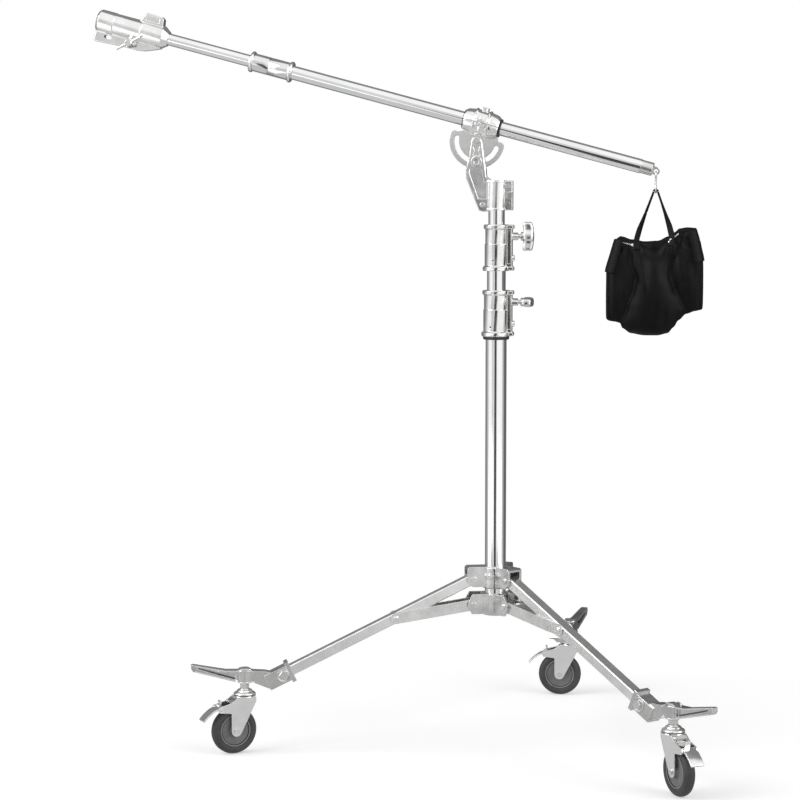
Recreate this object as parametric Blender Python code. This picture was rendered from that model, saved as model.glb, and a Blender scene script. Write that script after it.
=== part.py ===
"""Wheeled boom light stand: folding three-leg base on braked swivel casters, three-section column,
slotted tilt head, two-section boom with a spigot receiver, and a sandbag on a hook at the tail.

Metres, +Z up. The column's axis is built at X = Y = 0, and +X is where the boom's tail points.
At the end the root empty moves the object so that the middle of its footprint is the origin.
"""

import math

import bmesh
import bpy
from mathutils import Matrix, Vector

# Clearances
RUN_GAP = 0.0004
SEAT_GAP = 0.0003

# Facets of round forms
TUBE_STEPS = 28
ROUND_STEPS = 24
SMALL_STEPS = 12
HOLE_STEPS = 10

# Column tubes
TUBE_WALL = 0.0015
BASE_TUBE_OD = 0.045
MIDDLE_TUBE_OD = 0.040
TOP_TUBE_OD = 0.035
BASE_TUBE_LENGTH = 0.680
MIDDLE_TUBE_LENGTH = 0.675
TOP_TUBE_LENGTH = 0.640
MIDDLE_TUBE_SHOWN = 0.041
TOP_TUBE_SHOWN = 0.030

# Folding base
LEG_AZIMUTHS = {"left": 196.7, "front": 316.7, "back": 76.7}
HUB_BORE_GAP = 0.0004
PIVOT_RADIUS = 0.050
LEG_PIVOT_Z = 0.361
PIVOT_SPACING = 0.0545
BRACE_REACH = 0.186
LEG_TAIL = 0.012
LEG_WIDTH = 0.025
LEG_HEIGHT = 0.022
LEG_WALL = 0.002
BRACE_HEIGHT = 0.024
BRACE_CHEEK = 0.003
BRACE_SIDE_GAP = 0.0006
BRACE_WEB_START = 0.014
BRACE_WEB_END = 0.070
BRACE_WEB_THICK = 0.003
PIN_DIAMETER = 0.008
PIN_HEAD_DIAMETER = 0.0125
PIN_HEAD_HEIGHT = 0.003
HUB_HEIGHT = 0.047
HUB_WALL = 0.0065
HUB_REACH = 0.064
HUB_CHEEK = 0.0055
HUB_ROOF = 0.007
BRACE_HUB_FLOOR = 0.005
LEG_HUB_BELOW_PIVOT = 0.020
BRACE_HUB_BELOW_PIVOT = 0.0235

# Feet
SWIVEL_RADIUS = 0.540
FOOT_BOLT_SETBACK = 0.082
FOOT_BOLT_Z = 0.1664
FOOT_BOLT_TO_MOUTH = 0.020
FOOT_BOLT_TO_END = 0.018
FOOT_SOCKET_WALL = 0.0032
FOOT_SOCKET_UP = 0.016
FOOT_SOCKET_DOWN = 0.018
FOOT_LIP_LENGTH = 0.009
FOOT_LIP_STEP = 0.005
FOOT_ARM_HALF = 0.013
FOOT_TOP_Z = 0.176
FOOT_UNDER_Z = 0.152
FOOT_BOSS_RADIUS = 0.0165
TOE_REACH = 0.113
TOE_TIP_Z = 0.184
TOE_HALF_WIDTH = 0.011
TOE_WEB = 0.0085
FOOT_BOLT_DIAMETER = 0.008
FOOT_BOLT_HEAD = 0.014
FOOT_WASHER = 0.022

# Casters
CASTER_AZIMUTHS = {"left": 214.6, "front": 301.0, "back": 179.5}
WHEEL_DIAMETER = 0.100
TYRE_WIDTH = 0.024
CORE_DIAMETER = 0.0685
CORE_WIDTH = 0.020
WHEEL_HUB_WIDTH = 0.0292
WHEEL_HUB_DIAMETER = 0.026
AXLE_DIAMETER = 0.008
AXLE_HEAD_DIAMETER = 0.013
AXLE_HEAD_HEIGHT = 0.0035
CASTER_TRAIL = 0.025
FORK_INNER = 0.030
FORK_PLATE = 0.0025
FORK_TOP_Z = 0.1235
FORK_TOP_THICK = 0.004
FORK_EYE_RADIUS = 0.0115
RACE_RADIUS = 0.0235
RACE_TOP_Z = 0.137
STEM_NUT_DIAMETER = 0.020
STEM_DIAMETER = 0.012
STEM_TOP_Z = 0.168
PEDAL_PIVOT = (0.058, 0.098)
PEDAL_PIN_DIAMETER = 0.005
PEDAL_THICK = 0.003
PEDAL_HALF = 0.0145

# Column collars
COLLAR_HEIGHT = 0.098
COLLAR_RIM_HEIGHT = 0.011
COLLAR_WALL = 0.0036
COLLAR_STEP = 0.0013
COLLAR_RIM = 0.0055
COLLAR_STOP = 0.010
COLLAR_RING_AT = 0.056
HOUSING_REACH = 0.034
HOUSING_WIDTH = 0.024
GROOVE_WIDTH = 0.006
GROOVE_DEPTH = 0.007
STUD_DIAMETER = 0.006
STUD_BOSS_DIAMETER = 0.016
STUD_BOSS_LENGTH = 0.012
STUD_AT = 0.073
SCREW_AT = 0.027
SCREW_HEAD_DIAMETER = 0.0125
SCREW_HEAD_HEIGHT = 0.0045
EAR_HEIGHT = 0.009
EAR_OUT = 0.0035
KNOB_DEPTH = 0.027
KNOB_LENGTH = 0.061
KNOB_THICK = 0.022
KNOB_OUT = 0.053
RUBBER_RING_HEIGHT = 0.0065

# Tilt head
SLEEVE_HEIGHT = 0.063
SLEEVE_WALL = 0.0035
SLEEVE_CAP = 0.004
TILT_PIVOT_X = -0.042
TILT_PIVOT_RISE = 0.1463
BOOM_SLOPE = 15.14
BOOM_RISE = 0.038
PLATE_THICK = 0.007
PLATE_RADIUS = 0.0585
SLOT_RADIUS = 0.0435
SLOT_WIDTH = 0.010
SLOT_HALF_ANGLE = 84.0
ARM_HALF = 0.012
ARM_SLOT_GAP = 0.0004
ARM_TOP_RADIUS = 0.0115
ARM_TOP_RISE = 0.0075
TILT_BOLT_DIAMETER = 0.010
TILT_BOLT_HEAD = 0.0135
LOCK_BOLT_DIAMETER = 0.0085
LOCK_BOSS_DIAMETER = 0.0225
LOCK_BOSS_HEIGHT = 0.0015
LOCK_RECESS_DIAMETER = 0.012
LOCK_RECESS_DEPTH = 0.0035
LEVER_HALF = 0.026
LUG_REACH = 0.035
LUG_HALF = 0.011
LUG_SLIT = 0.003
LUG_BOLT_DIAMETER = 0.006
LUG_BOLT_HEAD = 0.010
CLAMP_HALF_LENGTH = 0.038
CLAMP_RADIUS = 0.0300
CLAMP_RIDGE_AT = 0.015
CLAMP_EAR_OUT = 0.008
CLAMP_PAD_RISE = 0.0345
CLAMP_END_RADIUS = 0.021
CLAMP_SPLIT = 0.002
HEAD_GASKET_LENGTH = 0.0016
TAIL_GASKET_LENGTH = 0.0042
GASKET_RADIUS = 0.0195

# Boom
BOOM_OD = 0.030
INNER_BOOM_OD = 0.026
BOOM_WALL = 0.0015
BOOM_HEAD_END = 0.470
BOOM_TAIL_END = 0.348
INNER_BOOM_TAIL = 0.060
TWIST_START = 0.516
TWIST_SEAM = 0.4725
TWIST_END = 0.4205
TWIST_RADIUS = 0.0192
TWIST_BEAD_RADIUS = 0.0228
TWIST_BEAD_LENGTH = 0.009
RECEIVER_MOUTH = 0.862
RECEIVER_TAIL = 0.712
RECEIVER_CONE = 0.011
RECEIVER_RADIUS = 0.025
RECEIVER_MOUTH_RADIUS = 0.0254
RECEIVER_MOUTH_LENGTH = 0.0375
RECEIVER_BAND_AT = 0.7615
RECEIVER_BAND_WIDTH = 0.002
SPIGOT_BORE = 0.0288
SPIGOT_DEPTH = 0.118
TUBE_SOCKET_DEPTH = 0.028
TOP_BOSS_RISE = 0.0425
TOP_BOSS_HALF = 0.0115
RIB_DEPTH = 0.041
RIB_HALF = 0.009
RIB_SLOT_RADIUS = 0.0036
RECEIVER_SCREW_AT = 0.778
RECEIVER_SCREW_DROP = 0.030
SCREW_BAR_GAP = 0.0012
SCREW_BAR_DIAMETER = 0.0058
SCREW_BAR_HALF = 0.029
SCREW_HUB_DIAMETER = 0.019
TAIL_CAP_RADIUS = 0.0140
TAIL_CAP_END = 0.374
TAIL_PLUG_LENGTH = 0.018
LUG_EYE_AT = 0.381
LUG_EYE_RADIUS = 0.0045
EYE_PLATE_THICK = 0.005

# Hook and sandbag
HOOK_WIRE = 0.004
HOOK_TOP_LOOP = 0.0065
HOOK_LOW_LOOP = 0.0095
HOOK_LENGTH = 0.047
BAG_DROP = 0.068
BAG_WIDTH = 0.204
BAG_HEIGHT = 0.232
BAG_DEPTH = 0.084
STRAP_WIDTH = 0.012
STRAP_GATHERED = 0.0052
STRAP_THICK = 0.005
STRAP_HALF_FOOT = 0.0045
STRAP_FOOT_LEFT = 0.040
STRAP_FOOT_RIGHT = 0.035
STRAP_GAP = 0.0006


def clear_scene():
    for obj in list(bpy.data.objects):
        bpy.data.objects.remove(obj, do_unlink=True)


def material(name, colour, roughness, metallic):
    made = bpy.data.materials.new(name)
    made.use_nodes = True
    shader = made.node_tree.nodes["Principled BSDF"]
    shader.inputs["Base Color"].default_value = (*colour, 1.0)
    shader.inputs["Roughness"].default_value = roughness
    shader.inputs["Metallic"].default_value = metallic
    made.diffuse_color = (*colour, 1.0)
    return made


def finish(mesh_data, name, surface, smooth=True):
    """An object from a bmesh, facing out, with its sharp edges marked."""
    bmesh.ops.recalc_face_normals(mesh_data, faces=mesh_data.faces)
    mesh = bpy.data.meshes.new(name)
    mesh_data.to_mesh(mesh)
    mesh_data.free()
    mesh.materials.append(surface)
    if smooth:
        mesh.shade_smooth()
        mesh.set_sharp_from_angle(angle=math.radians(32))
    obj = bpy.data.objects.new(name, mesh)
    bpy.context.scene.collection.objects.link(obj)
    return obj


def turned(name, profile, surface, steps=ROUND_STEPS, spin_axis="Z", middle=(0, 0, 0)):
    """A solid turned from a closed outline of (radius, height) points."""
    shape = bmesh.new()
    points = [shape.verts.new((radius, 0, height)) for radius, height in profile]
    edges = [shape.edges.new((a, b)) for a, b in zip(points, points[1:] + points[:1])]
    bmesh.ops.spin(
        shape,
        geom=points + edges,
        cent=(0, 0, 0),
        axis=(0, 0, 1),
        angle=2 * math.pi,
        steps=steps,
        use_merge=True,
    )
    on_axis = [v for v in shape.verts if math.hypot(v.co.x, v.co.y) < 1e-7]
    if on_axis:
        bmesh.ops.remove_doubles(shape, verts=on_axis, dist=1e-6)
        bmesh.ops.dissolve_degenerate(shape, dist=1e-7, edges=shape.edges)
        loose = [e for e in shape.edges if not e.link_faces]
        bmesh.ops.delete(shape, geom=loose, context="EDGES")
    turn = {
        "X": Matrix.Rotation(math.pi / 2, 4, "Y"),
        "Y": Matrix.Rotation(-math.pi / 2, 4, "X"),
        "Z": Matrix.Identity(4),
    }[spin_axis]
    bmesh.ops.transform(shape, matrix=Matrix.Translation(middle) @ turn, verts=shape.verts)
    return finish(shape, name, surface)


def prism(name, outline, low, high, surface, along="Y", smooth=False, bevel=0.0):
    """A plate cut to an outline and given its thickness along one axis."""
    shape = bmesh.new()
    place = {
        "X": lambda a, b: (low, a, b),
        "Y": lambda a, b: (a, low, b),
        "Z": lambda a, b: (a, b, low),
    }[along]
    face = shape.faces.new([shape.verts.new(place(a, b)) for a, b in outline])
    pulled = bmesh.ops.extrude_face_region(shape, geom=[face])
    moved = [v for v in pulled["geom"] if isinstance(v, bmesh.types.BMVert)]
    step = {"X": (high - low, 0, 0), "Y": (0, high - low, 0), "Z": (0, 0, high - low)}[along]
    bmesh.ops.translate(shape, verts=moved, vec=step)
    bmesh.ops.recalc_face_normals(shape, faces=shape.faces)
    if bevel:
        index = {"X": 0, "Y": 1, "Z": 2}[along]
        rims = [
            e
            for e in shape.edges
            if abs(e.verts[0].co[index] - e.verts[1].co[index]) < 1e-9
        ]
        bmesh.ops.bevel(
            shape, geom=rims, offset=bevel, segments=1, affect="EDGES", clamp_overlap=True
        )
    return finish(shape, name, surface, smooth)


def block(name, low, high, surface, bevel=0.0):
    shape = bmesh.new()
    bmesh.ops.create_cube(shape, size=1.0)
    size = [b - a for a, b in zip(low, high)]
    middle = [(a + b) / 2 for a, b in zip(low, high)]
    bmesh.ops.scale(shape, vec=size, verts=shape.verts)
    bmesh.ops.translate(shape, vec=middle, verts=shape.verts)
    if bevel:
        bmesh.ops.bevel(
            shape, geom=shape.edges[:], offset=bevel, segments=1, affect="EDGES"
        )
    return finish(shape, name, surface, smooth=False)


def rod(name, start, end, radius, surface, steps=SMALL_STEPS):
    """A round bar between two points."""
    start, end = Vector(start), Vector(end)
    shape = bmesh.new()
    line = end - start
    turn = Vector((0, 0, 1)).rotation_difference(line).to_matrix().to_4x4()
    bmesh.ops.create_cone(
        shape,
        cap_ends=True,
        segments=steps,
        radius1=radius,
        radius2=radius,
        depth=line.length,
        matrix=Matrix.Translation((start + end) / 2) @ turn,
    )
    return finish(shape, name, surface)


def merged(obj, others, operation):
    """Joins or cuts with a Boolean and keeps the result as the object's own mesh."""
    for other in others:
        step = obj.modifiers.new(operation.lower(), "BOOLEAN")
        step.operation = operation
        step.solver = "EXACT"
        step.object = other
        graph = bpy.context.evaluated_depsgraph_get()
        graph.update()
        mesh = bpy.data.meshes.new_from_object(obj.evaluated_get(graph), depsgraph=graph)
        obj.modifiers.clear()
        surface = obj.data.materials[0]
        obj.data = mesh
        mesh.materials.clear()
        mesh.materials.append(surface)
        for face in mesh.polygons:
            face.material_index = 0
        mesh.name = obj.name
        bpy.data.objects.remove(other, do_unlink=True)
    obj.data.shade_smooth()
    obj.data.set_sharp_from_angle(angle=math.radians(32))
    return obj


def joined(obj, *others):
    return merged(obj, others, "UNION")


def cut(obj, *others):
    return merged(obj, others, "DIFFERENCE")


def arc(middle, radius, start, end, count):
    """Points on a circle, from one angle to another in degrees."""
    angles = [start + (end - start) * i / (count - 1) for i in range(count)]
    return [
        (middle[0] + radius * math.cos(math.radians(a)), middle[1] + radius * math.sin(math.radians(a)))
        for a in angles
    ]


def empty(name, location, parent=None, rotation=(0, 0, 0)):
    made = bpy.data.objects.new(name, None)
    made.empty_display_size = 0.04
    bpy.context.scene.collection.objects.link(made)
    made.location = location
    made.rotation_euler = rotation
    made.parent = parent
    return made


def hang(obj, parent, origin=(0, 0, 0)):
    """Puts a piece under an empty and gives it an origin on its own axis."""
    origin = Vector(origin)
    obj.data.transform(Matrix.Translation(-origin))
    obj.parent = parent
    obj.location = origin
    return obj


def copy_of(obj, name, parent):
    twin = bpy.data.objects.new(name, obj.data)
    bpy.context.scene.collection.objects.link(twin)
    twin.parent = parent
    twin.location = obj.location
    twin.rotation_euler = obj.rotation_euler
    return twin


def along_leg(reach, rise=0.0):
    """A point in the leg's plane, by its distance from the leg's pivot and its height over the leg's line."""
    return (
        PIVOT_RADIUS + reach * math.cos(slope) + rise * math.sin(slope),
        LEG_PIVOT_Z - reach * math.sin(slope) + rise * math.cos(slope),
    )


clear_scene()

tube_steel = material("polished_tube_steel", (0.78, 0.79, 0.80), 0.12, 1.0)
cast_metal = material("polished_casting", (0.72, 0.73, 0.74), 0.28, 1.0)
plated_steel = material("zinc_plated_steel", (0.70, 0.71, 0.72), 0.32, 1.0)
bolt_steel = material("bolt_steel", (0.55, 0.56, 0.58), 0.30, 1.0)
black_rubber = material("black_rubber", (0.02, 0.02, 0.02), 0.75, 0.0)
tyre_rubber = material("tyre_rubber", (0.055, 0.055, 0.058), 0.65, 0.0)
wheel_plastic = material("grey_wheel_core", (0.16, 0.16, 0.165), 0.50, 0.0)
bag_cloth = material("black_bag_cloth", (0.012, 0.012, 0.013), 0.85, 0.0)
strap_web = material("black_webbing", (0.015, 0.015, 0.016), 0.80, 0.0)

root = empty("stand", (0, 0, 0))

# Rest geometry of the folding linkage
foot_bolt_run = SWIVEL_RADIUS - FOOT_BOLT_SETBACK - PIVOT_RADIUS
foot_bolt_fall = LEG_PIVOT_Z - FOOT_BOLT_Z
foot_bolt_reach = math.hypot(foot_bolt_run, foot_bolt_fall)
slope = math.atan2(foot_bolt_fall, foot_bolt_run)
leg_end = foot_bolt_reach + FOOT_BOLT_TO_END
socket_start = foot_bolt_reach - FOOT_BOLT_TO_MOUTH
toe_tip_radius = SWIVEL_RADIUS + TOE_REACH
brace_pivot_z = LEG_PIVOT_Z - PIVOT_SPACING
knee = along_leg(BRACE_REACH)
brace_run = knee[0] - PIVOT_RADIUS
brace_fall = brace_pivot_z - knee[1]
brace_length = math.hypot(brace_run, brace_fall)
brace_slope = math.atan2(brace_fall, brace_run)
leg_half = LEG_WIDTH / 2
brace_inner = leg_half + BRACE_SIDE_GAP
brace_outer = brace_inner + BRACE_CHEEK
pin_hole = PIN_DIAMETER / 2 + RUN_GAP
base_radius = BASE_TUBE_OD / 2
hub_radius = base_radius + HUB_WALL

# Brace hub: fixed at the foot of the base tube, with a fork for each brace and the brace's pin
brace_hub_low = brace_pivot_z - BRACE_HUB_BELOW_PIVOT
brace_hub_high = brace_hub_low + HUB_HEIGHT
tube_seat_z = brace_hub_low + BRACE_HUB_FLOOR
brace_hub = turned(
    "brace_hub",
    [
        (0.0, brace_hub_low),
        (hub_radius - 0.003, brace_hub_low),
        (hub_radius, brace_hub_low + 0.003),
        (hub_radius, brace_hub_high - 0.002),
        (hub_radius - 0.002, brace_hub_high),
        (0.0, brace_hub_high),
    ],
    cast_metal,
)
cheek_low = brace_outer + SEAT_GAP + 0.0002
for azimuth in LEG_AZIMUTHS.values():
    turn = Matrix.Rotation(math.radians(azimuth), 4, "Z")
    for side in (-1, 1):
        y_in, y_out = sorted((side * cheek_low, side * (cheek_low + HUB_CHEEK)))
        outline = [
            (hub_radius - 0.012, brace_hub_low + 0.004),
            (PIVOT_RADIUS + 0.004, brace_hub_low + 0.004),
            *arc((PIVOT_RADIUS, brace_pivot_z), HUB_REACH - PIVOT_RADIUS, -50, 38, 4),
            (PIVOT_RADIUS + 0.003, brace_hub_high),
            (hub_radius - 0.012, brace_hub_high),
        ]
        cheek = prism("cheek", outline, y_in, y_out, cast_metal)
        cheek.data.transform(turn)
        joined(brace_hub, cheek)
    reach = cheek_low + HUB_CHEEK
    pin = turned(
        "pin",
        [
            (0.0, -reach - PIN_HEAD_HEIGHT),
            (PIN_HEAD_DIAMETER / 2, -reach - PIN_HEAD_HEIGHT),
            (PIN_HEAD_DIAMETER / 2, -reach + 0.001),
            (PIN_DIAMETER / 2, -reach + 0.001),
            (PIN_DIAMETER / 2, reach - 0.001),
            (PIN_HEAD_DIAMETER / 2, reach - 0.001),
            (PIN_HEAD_DIAMETER / 2, reach + PIN_HEAD_HEIGHT),
            (0.0, reach + PIN_HEAD_HEIGHT),
        ],
        cast_metal,
        steps=HOLE_STEPS,
        spin_axis="Y",
        middle=(PIVOT_RADIUS, 0, brace_pivot_z),
    )
    pin.data.transform(turn)
    joined(brace_hub, pin)
cut(
    brace_hub,
    rod(
        "bore",
        (0, 0, tube_seat_z),
        (0, 0, brace_hub_high + 0.01),
        base_radius + SEAT_GAP,
        cast_metal,
        steps=ROUND_STEPS,
    ),
)
hang(brace_hub, root)

# Leg hub: slides on the base tube; each fork has a roof over the leg's end
leg_hub_low = LEG_PIVOT_Z - LEG_HUB_BELOW_PIVOT
leg_hub_high = leg_hub_low + HUB_HEIGHT
leg_hub = turned(
    "leg_hub",
    [
        (0.0, leg_hub_low),
        (hub_radius - 0.002, leg_hub_low),
        (hub_radius, leg_hub_low + 0.002),
        (hub_radius, leg_hub_high - 0.003),
        (hub_radius - 0.003, leg_hub_high),
        (0.0, leg_hub_high),
    ],
    cast_metal,
)
leg_cheek = leg_half + RUN_GAP
for azimuth in LEG_AZIMUTHS.values():
    turn = Matrix.Rotation(math.radians(azimuth), 4, "Z")
    half = leg_cheek + HUB_CHEEK
    outline = [
        (hub_radius - 0.012, leg_hub_low + 0.004),
        (PIVOT_RADIUS + 0.002, leg_hub_low + 0.004),
        *arc((PIVOT_RADIUS, LEG_PIVOT_Z), HUB_REACH - PIVOT_RADIUS, -55, 0, 4),
        (HUB_REACH, leg_hub_high - 0.004),
        (HUB_REACH - 0.004, leg_hub_high),
        (hub_radius - 0.012, leg_hub_high),
    ]
    fork = prism("fork", outline, -half, half, cast_metal)
    throat = block(
        "throat",
        (hub_radius + 0.0005, -leg_cheek, leg_hub_low - 0.01),
        (HUB_REACH + 0.02, leg_cheek, leg_hub_high - HUB_ROOF),
        cast_metal,
    )
    cut(fork, throat)
    pin = turned(
        "pin",
        [
            (0.0, -half - PIN_HEAD_HEIGHT),
            (PIN_HEAD_DIAMETER / 2, -half - PIN_HEAD_HEIGHT),
            (PIN_HEAD_DIAMETER / 2, -half + 0.001),
            (PIN_DIAMETER / 2, -half + 0.001),
            (PIN_DIAMETER / 2, half - 0.001),
            (PIN_HEAD_DIAMETER / 2, half - 0.001),
            (PIN_HEAD_DIAMETER / 2, half + PIN_HEAD_HEIGHT),
            (0.0, half + PIN_HEAD_HEIGHT),
        ],
        cast_metal,
        steps=HOLE_STEPS,
        spin_axis="Y",
        middle=(PIVOT_RADIUS, 0, LEG_PIVOT_Z),
    )
    joined(fork, pin)
    fork.data.transform(turn)
    joined(leg_hub, fork)
# A clamp screw's boss and hexagon head face forward, between two of the forks
screw_turn = Matrix.Rotation(math.radians(256.7), 4, "Z")
boss = rod(
    "boss",
    (hub_radius - 0.004, 0, leg_hub_low + 0.026),
    (hub_radius + 0.004, 0, leg_hub_low + 0.026),
    0.008,
    cast_metal,
)
joined(
    boss,
    rod(
        "head",
        (hub_radius + 0.003, 0, leg_hub_low + 0.026),
        (hub_radius + 0.0095, 0, leg_hub_low + 0.026),
        0.006,
        cast_metal,
        steps=6,
    ),
)
boss.data.transform(screw_turn)
joined(leg_hub, boss)
cut(
    leg_hub,
    rod(
        "bore",
        (0, 0, leg_hub_low - 0.01),
        (0, 0, leg_hub_high + 0.01),
        base_radius + HUB_BORE_GAP,
        cast_metal,
        steps=ROUND_STEPS,
    ),
)
hang(leg_hub, root)

# Leg: a rectangular tube from the leg hub's pin to the foot's socket
leg = block(
    "leg_left",
    (-LEG_TAIL, -leg_half, -LEG_HEIGHT / 2),
    (leg_end, leg_half, LEG_HEIGHT / 2),
    tube_steel,
    bevel=0.0018,
)
cut(
    leg,
    block(
        "hollow",
        (-LEG_TAIL - 0.01, -leg_half + LEG_WALL, -LEG_HEIGHT / 2 + LEG_WALL),
        (leg_end + LEG_TAIL, leg_half - LEG_WALL, LEG_HEIGHT / 2 - LEG_WALL),
        tube_steel,
    ),
    rod("hole", (0, -0.03, 0), (0, 0.03, 0), pin_hole, tube_steel, steps=HOLE_STEPS),
    rod(
        "hole",
        (foot_bolt_reach, -0.03, 0),
        (foot_bolt_reach, 0.03, 0),
        FOOT_BOLT_DIAMETER / 2 + SEAT_GAP,
        tube_steel,
        steps=HOLE_STEPS,
    ),
)

# Brace: two flat cheeks either side of the leg, joined by a web near the hub
brace_round = BRACE_HEIGHT / 2
brace = None
for side in (-1, 1):
    y_in, y_out = sorted((side * brace_inner, side * brace_outer))
    outline = [
        *arc((0, 0), brace_round, 90, 270, 7),
        *arc((brace_length, 0), brace_round, -90, 90, 7),
    ]
    cheek = prism("brace_left", outline, y_in, y_out, plated_steel)
    rivet = turned(
        "rivet",
        [
            (0.0, brace_outer - 0.001),
            (0.0058, brace_outer - 0.001),
            (0.0058, brace_outer + 0.0018),
            (0.0035, brace_outer + 0.0034),
            (0.0, brace_outer + 0.0034),
        ],
        plated_steel,
        steps=8,
        spin_axis="Y",
        middle=(brace_length, 0, 0),
    )
    if side < 0:
        rivet.data.transform(Matrix.Scale(-1, 4, (0, 1, 0)))
        rivet.data.flip_normals()
    joined(cheek, rivet)
    if brace is None:
        brace = cheek
        joined(
            brace,
            block(
                "web",
                (BRACE_WEB_START, -brace_inner - 0.0015, -brace_round),
                (BRACE_WEB_END, brace_inner + 0.0015, -brace_round + BRACE_WEB_THICK),
                plated_steel,
            ),
        )
    else:
        joined(brace, cheek)
cut(brace, rod("hole", (0, -0.04, 0), (0, 0.04, 0), pin_hole, plated_steel, steps=HOLE_STEPS))

# Foot: a casting with a socket for the leg, an arm over the caster's stem and a toe step
leg_place = Matrix.Translation((PIVOT_RADIUS, 0, LEG_PIVOT_Z)) @ Matrix.Rotation(slope, 4, "Y")
socket_half = leg_half + SEAT_GAP + FOOT_SOCKET_WALL
foot = block(
    "foot_left",
    (socket_start, -socket_half, -FOOT_SOCKET_DOWN),
    (leg_end + 0.020, socket_half, FOOT_SOCKET_UP),
    cast_metal,
)
lip = block(
    "lip",
    (socket_start, -socket_half - 0.0022, -FOOT_SOCKET_DOWN - FOOT_LIP_STEP),
    (
        socket_start + FOOT_LIP_LENGTH,
        socket_half + 0.0022,
        FOOT_SOCKET_UP + FOOT_LIP_STEP,
    ),
    cast_metal,
)
joined(foot, lip)
for side in (-1, 1):
    washer = rod(
        "washer",
        (foot_bolt_reach, side * (socket_half - 0.001), 0),
        (foot_bolt_reach, side * (socket_half + 0.0015), 0),
        FOOT_WASHER / 2,
        cast_metal,
    )
    joined(foot, washer)
foot.data.transform(leg_place)
under_corner = along_leg(leg_end + 0.018, -FOOT_SOCKET_DOWN)
arm = prism(
    "arm",
    [
        (under_corner[0] - 0.010, under_corner[1] + 0.0055),
        under_corner,
        (SWIVEL_RADIUS - 0.016, FOOT_UNDER_Z),
        (SWIVEL_RADIUS + 0.012, FOOT_UNDER_Z),
        (SWIVEL_RADIUS + 0.012, FOOT_TOP_Z),
        (SWIVEL_RADIUS - 0.014, FOOT_TOP_Z),
        (under_corner[0] + 0.014, FOOT_TOP_Z - 0.002),
        (under_corner[0] - 0.004, FOOT_TOP_Z - 0.006),
    ],
    -FOOT_ARM_HALF,
    FOOT_ARM_HALF,
    cast_metal,
)
joined(foot, arm)
boss = turned(
    "boss",
    [
        (0.0, FOOT_UNDER_Z - 0.002),
        (FOOT_BOSS_RADIUS - 0.002, FOOT_UNDER_Z - 0.002),
        (FOOT_BOSS_RADIUS, FOOT_UNDER_Z),
        (FOOT_BOSS_RADIUS, FOOT_TOP_Z + 0.001),
        (FOOT_BOSS_RADIUS - 0.005, FOOT_TOP_Z + 0.005),
        (0.0, FOOT_TOP_Z + 0.0065),
    ],
    cast_metal,
    steps=16,
    middle=(SWIVEL_RADIUS, 0, 0),
)
joined(foot, boss)
toe = prism(
    "toe",
    [
        (SWIVEL_RADIUS + 0.004, FOOT_UNDER_Z + 0.001),
        (SWIVEL_RADIUS + 0.024, FOOT_UNDER_Z + 0.002),
        (toe_tip_radius - 0.004, TOE_TIP_Z - 0.0075),
        (toe_tip_radius, TOE_TIP_Z - 0.002),
        (toe_tip_radius, TOE_TIP_Z + 0.006),
        (toe_tip_radius - 0.003, TOE_TIP_Z + 0.0075),
        (SWIVEL_RADIUS + 0.040, FOOT_TOP_Z + 0.002),
        (SWIVEL_RADIUS + 0.004, FOOT_TOP_Z + 0.001),
    ],
    -TOE_HALF_WIDTH,
    TOE_HALF_WIDTH,
    cast_metal,
)
for vert in toe.data.vertices:
    share = max(0.0, (vert.co.x - SWIVEL_RADIUS - 0.020) / (toe_tip_radius - SWIVEL_RADIUS - 0.020))
    vert.co.y *= 1.0 - 0.36 * min(share, 1.0)
for side in (-1, 1):
    y_in, y_out = sorted((side * TOE_WEB / 2, side * 0.03))
    pocket = prism(
        "pocket",
        [
            (SWIVEL_RADIUS + 0.0185, FOOT_UNDER_Z + 0.0055),
            (toe_tip_radius - 0.012, TOE_TIP_Z - 0.0020),
            (toe_tip_radius - 0.012, TOE_TIP_Z + 0.0020),
            (SWIVEL_RADIUS + 0.040, FOOT_TOP_Z - 0.0030),
            (SWIVEL_RADIUS + 0.0185, FOOT_TOP_Z - 0.0035),
        ],
        y_in,
        y_out,
        cast_metal,
    )
    cut(toe, pocket)
joined(foot, toe)
cavity = block(
    "cavity",
    (
        socket_start - 0.01,
        -leg_half - SEAT_GAP,
        -LEG_HEIGHT / 2 - SEAT_GAP,
    ),
    (leg_end + SEAT_GAP, leg_half + SEAT_GAP, LEG_HEIGHT / 2 + SEAT_GAP),
    cast_metal,
)
cavity.data.transform(leg_place)
bolt_hole = rod(
    "hole",
    (foot_bolt_reach, -0.05, 0),
    (foot_bolt_reach, 0.05, 0),
    FOOT_BOLT_DIAMETER / 2 + SEAT_GAP,
    cast_metal,
)
bolt_hole.data.transform(leg_place)
stem_hole = rod(
    "hole",
    (SWIVEL_RADIUS, 0, FOOT_UNDER_Z - 0.02),
    (SWIVEL_RADIUS, 0, STEM_TOP_Z + SEAT_GAP),
    STEM_DIAMETER / 2 + SEAT_GAP,
    cast_metal,
)
cut(foot, cavity, bolt_hole, stem_hole)

# Foot bolt: a hexagon bolt and nut through the socket and the leg
bolt_reach = socket_half + 0.0015 + SEAT_GAP
foot_bolt = rod(
    "foot_bolt_left",
    (0, -bolt_reach - 0.001, 0),
    (0, bolt_reach + 0.001, 0),
    FOOT_BOLT_DIAMETER / 2,
    bolt_steel,
)
for side in (-1, 1):
    joined(
        foot_bolt,
        rod(
            "head",
            (0, side * bolt_reach, 0),
            (0, side * (bolt_reach + 0.005), 0),
            FOOT_BOLT_HEAD / 2,
            bolt_steel,
            steps=6,
        ),
    )

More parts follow.
